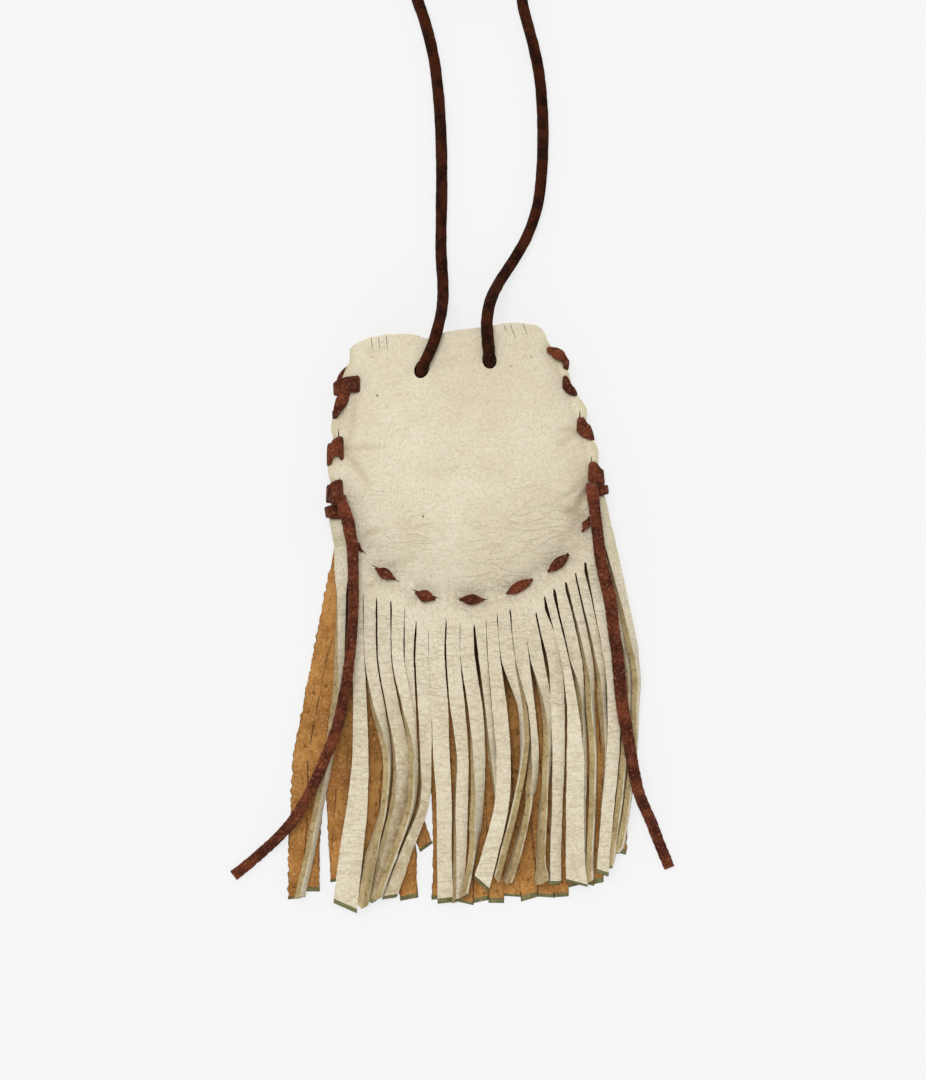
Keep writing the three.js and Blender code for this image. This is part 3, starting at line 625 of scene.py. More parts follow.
# Running stitches: the ends of the lace that is seen, and of the slit that it comes out of
RUNNING = [
    [(352, 543), (361, 550.3)], [(377.2, 569.2), (393, 578.2)], [(417.2, 593.4), (433.2, 598.8)],
    [(461.5, 599.4), (482, 599.8)], [(508.6, 592.6), (530.6, 580.6)], [(549.8, 570.4), (567.2, 556)],
    [(583.4, 530), (588.6, 519)],
]
SEAM_ENDS = [(347, 533), (593, 503)]
STITCH_WIDTHS = [2.7, 3.2, 3.6, 3.0, 3.1, 3.1, 2.4]
RUNNING_SLITS = [
    ((350, 541), (366.3, 554)), ((370.6, 563.9), (400.2, 583)), ((411.3, 589.5), (440.8, 598.8)),
    ((456.5, 599), (489.6, 599.6)), ((504.4, 594.2), (533.6, 578.7)), ((546.2, 573.3), (570, 551)),
    ((581.6, 533), (589.6, 516.5)),
]
# Short cuts in the lip of the front panel
LIP_SLITS = [
    ((370.6, 333), (373.2, 351)), ((378.4, 333), (380, 350.6)), ((386, 332), (388, 351)),
    ((508.5, 321), (515.8, 341)), ((520.8, 319), (527.6, 336.4)), ((501, 320), (506.6, 333.5)),
]
# Small dark marks in the grain: place, size and strength
SPECKS = [
    (*at(377.7, 396.3), 0.42, 0.95), (*at(423.3, 516.4), 0.42, 0.9), (*at(372, 357.4), 0.4, 0.4),
    (*at(457.8, 468), 0.4, 0.35), (*at(510.6, 367.2), 0.38, 0.4), (*at(531.5, 357.6), 0.4, 0.4),
]
# Where the leather is pressed in: places, depth and width in millimetres
PINCHES = [at(*place) for stitch in RUNNING for place in stitch]
WRAP_PINCHES = [at(*((np.array(wrap[0][0]) + wrap[0][1]) / 2)) for wrap in LEFT_WRAPS + RIGHT_WRAPS]
HOLES = [at(421.5, 373), at(489.5, 364)]
PRESSED = [(PINCHES, 0.42, 2.3), (WRAP_PINCHES, 0.4, 3.0), (HOLES, 0.5, 3.2)]

# Folds in the front: depth and half width in millimetres, and the line
FOLDS = [
    (0.35, 0.8, [(342, 449), (352, 449), (366, 448), (384, 448)]),
    (0.4, 1.2, [(343, 453), (351, 461), (361, 474), (368, 486)]),
    (0.3, 0.9, [(344, 446), (350, 436), (352, 418), (353, 398)]),
    (0.28, 0.8, [(338, 428), (339, 416), (345, 404)]),
    (0.35, 0.9, [(579, 433), (570, 430), (560, 431)]),
    (0.3, 0.9, [(578, 434), (568, 440), (560, 446)]),
    (0.55, 1.1, [(590, 484), (583, 497), (577, 508), (568, 513)]),
    (0.3, 0.8, [(588, 478), (580, 484), (570, 494), (556, 500)]),
    (0.35, 0.9, [(581, 516), (572, 511), (562, 509)]),
    (0.3, 0.8, [(345, 536), (337, 541), (333, 545)]),
    (0.35, 1.0, [(360, 538), (368, 533), (380, 531)]),
    (0.3, 0.8, [(378, 581), (370, 586), (363, 588)]),
    (0.3, 1.0, [(391, 566), (400, 562), (414, 559)]),
    (0.25, 0.8, [(405, 605), (416, 603)]),
    (0.22, 0.6, [(364, 351), (374, 352), (388, 351)]),
]
FOLD_SHARE = 1.35
FOLD_POINTS = 30


def folded(x, y):
    depth = np.zeros_like(x)
    for deep, half, line in FOLDS:
        near = np.full(x.shape, np.inf)
        share = np.zeros_like(x)
        for k, (px, py) in enumerate(through(all_at(line), FOLD_POINTS)):
            distance = np.hypot(x - px, y - py)
            share = np.where(distance < near, k / (FOLD_POINTS - 1), share)
            near = np.minimum(near, distance)
        fading = np.sin(np.pi * (0.12 + 0.8 * share)) ** 0.5
        depth += FOLD_SHARE * deep * np.exp(-((near / half) ** 2)) * fading
    return depth


def pinched(x, y):
    depth = np.zeros_like(x)
    for places, deep, wide in PRESSED:
        for px, py in places:
            depth = np.maximum(depth, deep * np.exp(-((x - px) ** 2 + (y - py) ** 2) / wide**2))
    return depth


def soft_waves(x, y, seed):
    total = np.zeros_like(x)
    flat = total.ravel()
    for k, (px, py) in enumerate(zip(x.ravel(), y.ravel())):
        bend = 2.5 * wander(px, py, seed + 5, 14)
        flat[k] = 0.34 * wander(px + bend, 1.6 * py, seed, 13) + 0.16 * wander(px, py + bend, seed + 2, 5)
    return flat.reshape(x.shape)


def leather_panel(name, strips, levels, height_at, rest, top, bottom, count, ragged, slits, seed):
    """The panel's object, and the points that it was made from with their marks."""
    sheet = Leather()
    boundary = parting_line(STRIP_COLUMNS, len(strips))
    grid = body_grid(len(boundary), boundary)
    x, y = grid[..., 0], grid[..., 1]
    z = height_at(x, y)
    if top == GRAIN:
        inside = smooth(1.06 - seam_share(x, y), 0, 0.25)
        z = z + soft_waves(x, y, seed) * (0.35 + 0.65 * inside) - pinched(x, y) - folded(x, y)
    rows = []
    for row in range(x.shape[0]):
        lower = [np.array([x[row, k], y[row, k], z[row, k]]) for k in range(x.shape[1])]
        upper = [place + np.array([0, 0, LEATHER]) for place in lower]
        rows.append(sheet.add(lower, upper))
        if row:
            sheet.strip_of(rows[-2], rows[-1])
    for number, strip in enumerate(strips):
        before = rows[-1][number * STRIP_COLUMNS : (number + 1) * STRIP_COLUMNS + 1]
        ends = [sheet.lower[before[0]], sheet.lower[before[-1]]]
        gaps = slits[number], slits[number + 1]
        root = (ends[0] + ends[1]) / 2 + np.array([(gaps[0] - gaps[1]) / 4, 0, 0])
        root_width = ends[1][0] - ends[0][0] - sum(gaps) / 2
        strip = {**strip, "left_root": ends[0], "right_root": ends[1]}
        made = strip_rows(strip, levels, root, root_width, rest, count, ragged, number + seed, number)
        for lower, upper, lower_marks, upper_marks in made:
            after = sheet.add(lower, upper, lower_marks, upper_marks)
            sheet.strip_of(before, after)
            before = after
        sheet.tips.update(before)
    piece = sheet.build(name, [MATERIALS[key] for key in ("grain", "flesh", "edge", "tip")], top, bottom)
    return piece, np.array(sheet.lower + sheet.upper) * MM, np.array(sheet.lower_marks + sheet.upper_marks)


# Laces


def run_above(x, y):
    return float(front_height(np.array(x), np.array(y))) + LEATHER + LACE_BEND - 0.15


def run_below(x, y):
    return float(back_height(np.array(x), np.array(y))) - LACE_BEND


def level_side(direction, like):
    side = Vector((-direction.y, direction.x, 0)).normalized()
    return -side if side.dot(like) < 0 else side


def passage(place, before, after, upwards, like, narrow, full):
    """Where the lace passes the leather: level in, round a bend, straight, round a bend, level out."""
    inward = (place - before).normalized()
    outward = (after - place).normalized()
    side_in = level_side(inward, like)
    side_out = level_side(outward, side_in)
    levels = [run_below(place.x, place.y), run_above(place.x, place.y)]
    low, high = levels if upwards else levels[::-1]
    climb = LACE_BEND if upwards else -LACE_BEND
    bend = 1 - math.sqrt(0.5)

    def station(direction, offset, z, side, width):
        x, y = place.x + direction.x * offset, place.y + direction.y * offset
        return [x, y, z, side.x, side.y, side.z, width]

    middle = (side_in + side_out).normalized()
    return [
        station(inward, -LACE_BEND, low, side_in, (narrow + full) / 2),
        station(inward, -bend * LACE_BEND, low + bend * climb, side_in, narrow),
        station(inward, 0, low + climb, middle, narrow),
        station(outward, 0, high - climb, middle, narrow),
        station(outward, bend * LACE_BEND, high - bend * climb, side_out, narrow),
        station(outward, LACE_BEND, high, side_out, (narrow + full) / 2),
    ]


def stitched(start, places, end, widths, narrow_share):
    """Stations of a running stitch: up and down at the places in turn, each stitch in its own width."""
    points = [Vector((*at(*p), 0)) for p in (start, *places, end)]
    first = (points[1] - points[0]).normalized()
    side = Vector((-first.y, first.x, 0))
    stations = [[points[0].x, points[0].y, run_below(points[1].x, points[1].y), side.x, side.y, 0, widths[0]]]
    for number in range(1, len(points) - 1):
        before, place, after = points[number - 1 : number + 2]
        full = widths[(number - 1) // 2]
        upwards = number % 2 == 1
        like = Vector(stations[-1][3:6])
        passed = passage(place, before, after, upwards, like, full * narrow_share, full)
        stations.extend(passed)
        if number < len(points) - 2:
            middle = (place + after) / 2
            along = (after - place).normalized()
            side = level_side(along, Vector(passed[-1][3:6]))
            if upwards:
                z = max(run_above(p.x, p.y) for p in (place, after, middle)) + 0.15
            else:
                z = min(run_below(p.x, p.y) for p in (place, after, middle))
            stations.append([middle.x, middle.y, z, side.x, side.y, 0, full])
    return stations


def smooth_stations(stations):
    """The same stations on a smooth line, close together, ends kept."""
    return curve_of(stations, lambda start, end: max(2, int(np.linalg.norm(end[:3] - start[:3]) / LACE_STEP)))


LACE_SECTION = [
    (-0.5, -0.25), (-0.42, -0.5), (-0.15, -0.5), (0.15, -0.5), (0.42, -0.5), (0.5, -0.25), (0.5, 0.25),
    (0.42, 0.5), (0.15, 0.55), (-0.15, 0.55), (-0.42, 0.5), (-0.5, 0.25),
]


def sweep(line, section, thickness, seed, rough=0.09, skewed=False):
    """Points and faces of a solid along stations: place, side and width."""
    points = []
    faces = []
    sides = len(section)
    for k, station in enumerate(line):
        place = Vector(station[:3])
        along = (Vector(line[min(k + 1, len(line) - 1)][:3]) - Vector(line[max(k - 1, 0)][:3])).normalized()
        side = Vector(station[3:6]).normalized()
        up = along.cross(side).normalized()
        if not skewed:
            side = up.cross(along)
        for number, (w, h) in enumerate(section):
            fuzz = 1 + rough * noise.noise(Vector((k * 0.37 + seed, number * 1.3, seed * 3.3)))
            points.append(place + side * (w * station[6] * fuzz) + up * (h * thickness * fuzz))
        if k:
            for number in range(sides):
                a = (k - 1) * sides + number
                b = (k - 1) * sides + (number + 1) % sides
                faces.append((a, b, b + sides, a + sides))
    last = (len(line) - 1) * sides
    faces.append(tuple(range(sides - 1, -1, -1)))
    faces.append(tuple(range(last, last + sides)))
    return points, faces


def joined(name, parts, material):
    points = []
    faces = []
    for part_points, part_faces in parts:
        start = len(points)
        points.extend(part_points)
        faces.extend(tuple(start + corner for corner in face) for face in part_faces)
    piece = make_object(name, points, faces, [0] * len(faces), [material], 60)
    fix_normals(piece)
    return piece


def between(pair, other, share):
    return tuple(tuple(np.array(a) * (1 - share) + np.array(b) * share) for a, b in zip(pair, other))


def across_line(pair, z):
    """A station from the two ends of a line across the lace."""
    (ax, ay), (bx, by) = at(*pair[0]), at(*pair[1])
    side = Vector((ax - bx, ay - by, 0))
    return [(ax + bx) / 2, (ay + by) / 2, z, *side.normalized(), side.length]


def middle_of(pair):
    return at(*((np.array(pair[0]) + pair[1]) / 2))


def whip_line(wraps, inward):
    """Stations of the lace up through each slit, over the front, round the side and back behind."""
    stations = []
    for slit, *crossings, edge in wraps:
        low, high = run_below(*middle_of(slit)), run_above(*middle_of(slit))
        inner = between(slit, slit[::-1], 0.1)
        stations.append(across_line(inner, low))
        stations.append(across_line(inner, (low + high) / 2))
        stations.append(across_line(slit, high - 0.25))
        for pair in crossings:
            stations.append(across_line(pair, run_above(*middle_of(pair)) + 0.15))
        turned = tuple((x + inward * LACE_THICKNESS / 2 / PIXEL, y) for x, y in edge)
        near = between(crossings[-1], turned, 0.75)
        stations.append(across_line(near, run_above(*middle_of(near)) - 0.1))
        low, high = run_below(*middle_of(turned)), run_above(*middle_of(turned))
        stations.append(across_line(turned, (low + high) / 2))
        stations.append(across_line(between(turned, crossings[-1], 0.25), low))
    return smooth_stations(stations)


def tail_line(tail):
    stations = []
    like = Vector((1, 0, 0))
    for number, (px, py, z, wide) in enumerate(tail):
        before = at(*tail[max(number - 1, 0)][:2])
        after = at(*tail[min(number + 1, len(tail) - 1)][:2])
        like = level_side(Vector((after[0] - before[0], after[1] - before[1], 0)), like)
        stations.append([*at(px, py), z, *like, wide])
    return smooth_stations(stations)


def side_lace(name, wraps, inward, tail, knot, peek, seed):
    parts = [
        sweep(whip_line(wraps, inward), LACE_SECTION, LACE_THICKNESS, seed, skewed=True),
        sweep(tail_line(tail), LACE_SECTION, LACE_THICKNESS, seed + 1, 0.13),
    ]
    if knot:
        line = smooth_stations([across_line(pair, run_above(*middle_of(pair)) + rise) for pair, rise in knot])
        parts.append(sweep(line, LACE_SECTION, KNOT_THICKNESS, seed + 2, skewed=True))
    if peek:
        line = smooth_stations([across_line(pair, z) for pair, z in peek])
        parts.append(sweep(line, LACE_SECTION, LACE_THICKNESS, seed + 3, skewed=True))
    return joined(name, parts, MATERIALS["lace"])


def bottom_lace():
    places = [p for stitch in RUNNING for p in stitch]
    start, end = SEAM_ENDS
    stations = stitched(start, places, end, STITCH_WIDTHS, 0.3)
    stations.append([*at(*end), *stations[-1][2:]])
    part = sweep(smooth_stations(stations), LACE_SECTION, LACE_THICKNESS, 9, 0.12)
    return joined("bottom_seam_lace", [part], MATERIALS["lace"])


# Neck cord: up through the left hole, to the coil, round it, back to the right hole
CORD_BEHIND = [
    (-9.4, 34.4, 14.8), (-10.8, 30.8, 14.7), (-12.5, 27.4, 13.6), (-13.3, 25.4, 10.8), (-13.1, 24.8, 7.6),
    (-11.6, 25.2, 4.2), (-9, 26, 2.2), (-6.2, 26.7, 1.7), (-3.4, 27.3, 1.7), (-0.6, 27.9, 1.7),
    (2.2, 28.2, 2.2), (4.5, 27.9, 4.2), (5.8, 27.6, 7.4), (6, 28, 10.6), (5.9, 29.9, 13.5),
    (5.6, 33.4, 14.7), (5.3, 37.2, 14.8),
]
LEFT_STRAND = [
    (-9.2, 34.9, 14.8), (-8.4, 38, 14.2), (-7.6, 41.4, 12.2), (-7.1, 45.6, 8.6), (-7, 50, 4.8),
    (-7.3, 55.4, 2.4), (-7.6, 62, 1.7), (-7.4, 83.2, 1.7), (-7.9, 98.8, 1.7), (-9, 110.6, 1.7),
    (-10.4, 118.4, 1.7), (-12, 124.6, 1.7), (-13.9, 130.2, 1.7), (-15.2, 135, 1.7), (-16.6, 139.8, 1.7),
]
RIGHT_STRAND = [
    (5.2, 37.7, 14.8), (5.3, 40.8, 14), (5.9, 44.2, 11.8), (7.2, 48.2, 8), (9.4, 52.4, 4.4),
    (12.6, 57.4, 2.2), (16.5, 64.2, 1.7), (19.3, 72, 1.7), (20.5, 79.4, 1.7), (21, 87, 1.7),
    (21.1, 95, 1.7), (20.8, 102.8, 1.7), (20, 110.6, 1.7), (18.4, 118.4, 1.7), (15.4, 130.2, 1.7),
]
# From the coil's last turn down to the right strand
LEAVING = [(19.3, 151.5, 4.9), (17.9, 146, 4.8), (16.6, 140.6, 3.9), (15.8, 135.6, 2.2)]
COIL = {"x": 0, "y": 156.6, "radius": 16.5, "pitch": 3.2, "low": 1.7, "turns": 5.5}
COIL_STEPS = 36
CORD_STEP = 0.8


def coil_points():
    """Clockwise turns: in along the ground, then up and out on top of them."""
    points = []
    for k in range(int(COIL["turns"] * COIL_STEPS) + 1):
        turn = k / COIL_STEPS
        if turn < 2:
            radius = COIL["radius"] + COIL["pitch"] * (1 - turn)
        elif turn < 3:
            radius = COIL["radius"] - COIL["pitch"]
        else:
            radius = COIL["radius"] - COIL["pitch"] * (1 - min(turn - 3, 2))
        z = COIL["low"] + COIL["pitch"] * float(smooth(turn, 2.4, 2.95))
        angle = math.pi - 2 * math.pi * turn
        points.append((COIL["x"] + radius * math.cos(angle), COIL["y"] + radius * math.sin(angle), z))
    return points


def squared_circle(sides, power):
    """A section one unit wide. A power of 1 gives a circle, and less than 1 a squarer form."""
    places = [(math.cos(a), math.sin(a)) for a in np.linspace(0, 2 * math.pi, sides, endpoint=False)]
    return [tuple(math.copysign(abs(value) ** power, value) / 2 for value in place) for place in places]


HOLE_WIDTH = 4.1
CORD_HEIGHT = 2.95
CORD_SECTION = squared_circle(14, 0.7)
HOLE_SECTION = squared_circle(16, 1)


def cord_tube(name, points, width, seed):
    line = through(points, len(points) * 12)
    run = np.linalg.norm(np.diff(line, axis=0), axis=1).sum()
    line = evenly(line, int(run / CORD_STEP))
    stations = cord_stations(line, 1)
    for k, station in enumerate(stations):
        along = Vector(line[min(k + 1, len(line) - 1)]) - Vector(line[max(k - 1, 0)])
        twist = 0.25 * wander(k * CORD_STEP, seed, 6.1, 30)
        side = Vector(station[3:6])
        station[3:6] = side * math.cos(twist) + along.normalized().cross(side) * math.sin(twist)
        uneven = 1 + 0.05 * wander(k * CORD_STEP, seed, 2.2, 7)
        station[6] = np.interp(k / len(line), [0, 1], width) * uneven
    part = sweep(stations, CORD_SECTION, CORD_HEIGHT, seed, 0.07)
    return joined(name, [part], MATERIALS["cord"]), line


def cord_stations(line, wide):
    """Stations along a line of places, with the side carried along it without a twist."""
    side = Vector((1, 0, 0))
    stations = []
    for k in range(len(line)):
        along = Vector(line[min(k + 1, len(line) - 1)]) - Vector(line[max(k - 1, 0)])
        along.normalize()
        side = (side - along * side.dot(along)).normalized()
        stations.append([*line[k], *side, wide])
    return stations


def cord_holes():
    """A tube, wider than the cord, along the part of it that goes through the panels."""
    line = through(CORD_BEHIND[2:15], 70)
    return sweep(cord_stations(line, HOLE_WIDTH), HOLE_SECTION, HOLE_WIDTH, 1, 0)


def neck_cord():
    route = CORD_BEHIND[4:0:-1] + LEFT_STRAND + coil_points()
    route = route + LEAVING + RIGHT_STRAND[::-1] + CORD_BEHIND[15:11:-1]
    piece, line = cord_tube("neck_cord", route, (2.95, 3.3), 4)
    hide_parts("neck_cord_left", "neck_cord_right", "neck_cord_coil")
    behind, _ = cord_tube("neck_cord_bight", CORD_BEHIND[4:13], (3.1, 3.1), 6)
    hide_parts("neck_cord_behind")
    return [piece, behind]


# Materials


class Nodes:
    """Short calls for a material's nodes."""

    def __init__(self, name):
        self.material = bpy.data.materials.new(name)
        self.material.use_nodes = True
        self.tree = self.material.node_tree
        self.shader = self.tree.nodes["Principled BSDF"]
        self.place = self.add("ShaderNodeTexCoord").outputs["Object"]

    def add(self, kind, inputs=None, **settings):
        node = self.tree.nodes.new(kind)
        for key, value in settings.items():
            setattr(node, key, value)
        for key, value in (inputs or {}).items():
            self.put(node.inputs[key], value)
        return node

    def put(self, socket, value):
        if isinstance(value, bpy.types.NodeSocket):
            self.tree.links.new(value, socket)
        else:
            socket.default_value = value

    def noise(self, scale, detail=3, rough=0.55, place=None, distort=0):
        inputs = {"Vector": place or self.place, "Scale": scale, "Detail": detail}
        inputs.update({"Roughness": rough, "Distortion": distort})
        return self.add("ShaderNodeTexNoise", inputs).outputs["Fac"]

    def math(self, operation, a, b=0.0, c=0.0):
        return self.add("ShaderNodeMath", {0: a, 1: b, 2: c}, operation=operation).outputs[0]

    def ramp(self, value, low, high, start=0.0, end=1.0):
        inputs = {"Value": value, "From Min": low, "From Max": high, "To Min": start, "To Max": end}
        return self.add("ShaderNodeMapRange", inputs, interpolation_type="SMOOTHSTEP").outputs["Result"]

    def mix(self, share, a, b):
        node = self.add("ShaderNodeMix", data_type="RGBA")
        self.put(node.inputs[0], share)
        self.put(node.inputs[6], a)
        self.put(node.inputs[7], b)
        return node.outputs[2]

    def times(self, a, b):
        return self.math("MULTIPLY", a, b)

    def tint(self, colour, mask, share, paint):
        return self.mix(self.times(mask, share), colour, paint)

    def bump(self, height, strength, distance, before=None):
        node = self.add("ShaderNodeBump", {"Height": height, "Strength": strength, "Distance": distance})
        if before is not None:
            self.put(node.inputs["Normal"], before)
        return node.outputs["Normal"]

    def attribute(self, name, output="Fac"):
        return self.add("ShaderNodeAttribute", attribute_name=name).outputs[output]

    def finish(self, colour, roughness, normal, sheen=0.0, specular=0.35):
        self.put(self.shader.inputs["Base Color"], colour)
        self.put(self.shader.inputs["Roughness"], roughness)
        self.put(self.shader.inputs["Normal"], normal)
        self.shader.inputs["Specular IOR Level"].default_value = specular
        self.shader.inputs["Sheen Weight"].default_value = sheen
        self.shader.inputs["Sheen Roughness"].default_value = 0.5
        return self.material


def srgb(red, green, blue):
    linear = [((v / 255 + 0.055) / 1.055) ** 2.4 if v > 10 else v / 255 / 12.92 for v in (red, green, blue)]
    return (*linear, 1.0)


def specks(n, colour, places):
    """Small dark marks at given places, seen from above."""
    level = n.add("ShaderNodeVectorMath", {0: n.place, 1: (1, 1, 0)}, operation="MULTIPLY").outputs[0]
    uneven = n.ramp(n.noise(2500, 2), 0.3, 0.7, 0.6, 1.4)
    for x, y, size, strength in places:
        away = n.add("ShaderNodeVectorMath", {0: level, 1: (x * MM, y * MM, 0)}, operation="DISTANCE")
        spread_out = n.times(away.outputs["Value"], uneven)
        share = n.ramp(spread_out, size * 0.4 * MM, size * MM, strength, 0.0)
        colour = n.mix(share, colour, srgb(92, 74, 52))
    return colour


def stretched(n, x, y, z=1.0, warp=0.0):
    """Coordinates drawn out along the axes with small factors, and bent by a noise."""
    place = n.add("ShaderNodeVectorMath", {0: n.place, 1: (x, y, z)}, operation="MULTIPLY").outputs[0]
    if not warp:
        return place
    bend = n.add("ShaderNodeTexNoise", {"Vector": n.place, "Scale": 420.0, "Detail": 2.0}).outputs["Color"]
    factor = (warp * MM, warp * MM, warp * MM)
    return n.add("ShaderNodeVectorMath", {0: bend, 1: factor, 2: place}, operation="MULTIPLY_ADD").outputs[0]


def crackle(n, place, scale, wide):
    """Thin lines between the cells of the grain."""
    away = n.add("ShaderNodeTexVoronoi", {"Vector": place, "Scale": scale}, feature="DISTANCE_TO_EDGE")
    return n.ramp(away.outputs["Distance"], 0.0, wide, 1.0, 0.0)


def creases(n, place, scale, wide):
    """Long thin lines where a noise passes its middle value."""
    level = n.noise(scale, 3, 0.5, place, 0.7)
    return n.ramp(n.math("ABSOLUTE", n.math("SUBTRACT", level, 0.5)), 0.0, wide, 1.0, 0.0)


def grain_leather():
    n = Nodes("cream_grain_leather")
    fringe = n.attribute("fringe")
    near = n.attribute("near")
    rim = n.attribute("rim")
    low = n.attribute("low")
    worn = n.attribute("worn")
    grain = n.noise(1100, 4, 0.7)
    patch = n.noise(90, 3)
    cells = crackle(n, stretched(n, 0.85, 1.1, warp=1.3), 640.0, 0.16)
    cells = n.times(cells, n.ramp(n.noise(260, 3), 0.38, 0.6, 0.15, 1.0))
    wide_cells = crackle(n, stretched(n, 0.6, 1.2, warp=2.4), 250.0, 0.05)
    wide_cells = n.times(wide_cells, n.ramp(patch, 0.4, 0.62, 0.1, 1.0))
    wrinkled = creases(n, stretched(n, 0.5, 1.35, 0.6), 210, 0.06)
    patchy = n.ramp(n.noise(60, 2), 0.35, 0.7, 0.15, 1.0)
    wrinkled = n.times(wrinkled, n.times(patchy, n.math("MULTIPLY_ADD", low, 0.7, 0.3)))
    across = creases(n, stretched(n, 0.35, 1.5, 0.6), 330, 0.025)
    creased = n.times(across, n.math("MULTIPLY_ADD", fringe, 0.8, 0.15))
    pull = n.attribute("pull", "Vector")
    rays = n.add("ShaderNodeTexNoise", {"Vector": pull, "Scale": 2.6, "Detail": 2.0}).outputs["Fac"]
    rays = n.ramp(n.math("ABSOLUTE", n.math("SUBTRACT", rays, 0.5)), 0.0, 0.05)
    rays = n.times(n.math("SUBTRACT", 1.0, rays), near)
    lines = n.math("MAXIMUM", n.times(cells, 0.8), wide_cells)
    lines = n.times(lines, n.math("MULTIPLY_ADD", fringe, 0.7, 0.3))
    canvas = n.noise(1700, 3, 0.6, stretched(n, 1.25, 0.8))
    scuffed = n.times(worn, n.ramp(n.noise(300, 4, 0.7), 0.36, 0.58))

    colour = n.mix(n.ramp(n.noise(48, 4), 0.3, 0.7), srgb(236, 226, 200), srgb(226, 214, 186))
    colour = n.mix(n.ramp(grain, 0.52, 0.7, 0.0, 0.45), colour, srgb(205, 190, 160))
    colour = n.mix(n.ramp(canvas, 0.5, 0.66, 0.0, 0.5), colour, srgb(198, 182, 150))
    colour = n.mix(n.ramp(grain, 0.48, 0.3, 0.0, 0.5), colour, srgb(245, 238, 219))
    colour = n.tint(colour, lines, 0.34, srgb(182, 160, 124))
    colour = n.tint(colour, wrinkled, 0.16, srgb(180, 162, 126))
    colour = n.tint(colour, creased, 0.36, srgb(186, 166, 128))
    colour = n.tint(colour, rays, 0.4, srgb(168, 148, 112))
    colour = n.tint(colour, scuffed, 0.75, srgb(184, 162, 120))
    # Painted shade in the folds of the front
    colour = n.tint(colour, n.attribute("painted_fold_shade"), 0.5, srgb(176, 160, 120))
    # Painted highlight along the top of a turned strip
    colour = n.tint(colour, n.ramp(n.attribute("painted_highlight"), 0.6, 0.95), 0.4, srgb(236, 227, 202))
    # Painted shade: an olive tint along the outline of the body
    painted_rim_shade = n.times(rim, n.ramp(n.noise(110, 3), 0.25, 0.7, 0.2, 0.7))
    colour = n.mix(painted_rim_shade, colour, srgb(200, 194, 152))
    colour = specks(n, colour, SPECKS)

    height = n.math("SUBTRACT", n.math("ADD", grain, canvas), n.times(lines, 0.6))
    normal = n.bump(height, 0.6, 0.00024)
    normal = n.bump(n.math("SUBTRACT", 1.0, wrinkled), 0.6, 0.0003, normal)
    normal = n.bump(n.math("SUBTRACT", 1.0, creased), 0.5, 0.0002, normal)
    normal = n.bump(n.math("SUBTRACT", 1.0, rays), 0.55, 0.0003, normal)
    return n.finish(colour, 0.68, normal, sheen=0.05, specular=0.25)


def suede(name, light, dark, fleck, pit, scale=1.0, deep=None, painted_highlight=None):
    """Fuzzy flesh side: clouds, short streaks along the strips, light flecks and dark pits, with painted
    shade along low borders and where it lies deep, and a painted highlight along the top of turned strips.
    """
    n = Nodes(name)
    cloud = n.ramp(n.noise(90, 5, 0.7), 0.34, 0.66)
    nap = n.noise(1150 * scale, 4, 0.75)
    streaks = n.noise(460, 4, 0.65, stretched(n, 1.5, 0.4))
    pits = n.noise(520 * scale, 4, 0.8, stretched(n, 1.0, 0.7))
    # Painted shade along a strip's border that lies low, in the crevice beside its neighbour
    border = n.times(n.ramp(n.attribute("border"), 0.55, 1.0), n.ramp(n.noise(170, 3), 0.4, 0.56))
    colour = n.mix(cloud, light, dark)
    colour = n.mix(n.ramp(streaks, 0.48, 0.66, 0.0, 0.7), colour, dark)
    colour = n.mix(n.ramp(nap, 0.52, 0.66, 0.0, 0.75), colour, fleck)
    colour = n.mix(n.ramp(pits, 0.46, 0.32, 0.0, 0.85), colour, pit)
    colour = n.tint(colour, border, 0.85, pit)
    # Painted highlight: a pale line along the top of a turned strip
    if painted_highlight:
        along = n.ramp(n.attribute("painted_highlight"), 0.68, 0.94)
        line = n.times(along, n.ramp(n.noise(210, 3), 0.36, 0.56, 0.15, 0.9))
        colour = n.mix(line, colour, painted_highlight)
    # Painted shade: the flesh is darkened where it lies deep under the front strips, most just below where
    # they part
    if deep:
        colour = n.tint(colour, n.attribute("deep"), 0.94, deep)
    rough = n.math("ADD", nap, n.times(pits, 1.4))
    height = n.math("ADD", rough, n.times(border, -0.8))
    normal = n.bump(height, 1.0, 0.00045)
    return n.finish(colour, 0.95, normal, sheen=0.1, specular=0.12)


def lace_material():
    n = Nodes("dark_lace_suede")
    nap = n.noise(1250, 4, 0.78)
    cloud = n.noise(170, 3)
    colour = n.mix(n.ramp(cloud, 0.35, 0.65), srgb(118, 60, 36), srgb(72, 33, 19))
    colour = n.mix(n.ramp(nap, 0.53, 0.7, 0.0, 0.85), colour, srgb(166, 106, 78))
    colour = n.mix(n.ramp(nap, 0.47, 0.33, 0.0, 0.8), colour, srgb(48, 18, 10))
    normal = n.bump(n.math("ADD", nap, n.noise(600, 2)), 0.9, 0.0004)
    return n.finish(colour, 0.95, normal, sheen=0.06, specular=0.12)


def cord_material():
    n = Nodes("brown_cord_leather")
    nap = n.noise(1000, 4, 0.75)
    cloud = n.noise(230, 4, 0.6)
    colour = n.mix(n.ramp(cloud, 0.38, 0.62), srgb(66, 29, 11), srgb(33, 12, 4))
    colour = n.mix(n.ramp(nap, 0.54, 0.72, 0.0, 0.5), colour, srgb(116, 60, 30))
    normal = n.bump(n.math("ADD", nap, n.noise(420, 2)), 0.8, 0.0004)
    return n.finish(colour, 0.85, normal, sheen=0.0, specular=0.1)


# The floor's colour and the share of it that the camera sees as its own light. Its half width is in metres.
FLOOR_COLOUR = (0.93, 0.93, 0.93, 1)
FLOOR_GLOW = 0.78
FLOOR_HALF = 1.5
FLOOR_LOW = -0.0002
WORLD_STRENGTH = 0.58
SUN_STRENGTH = 1.38
SUN_ANGLE = 34
SUN_DIRECTION = (0.13, -0.32, -1.0)


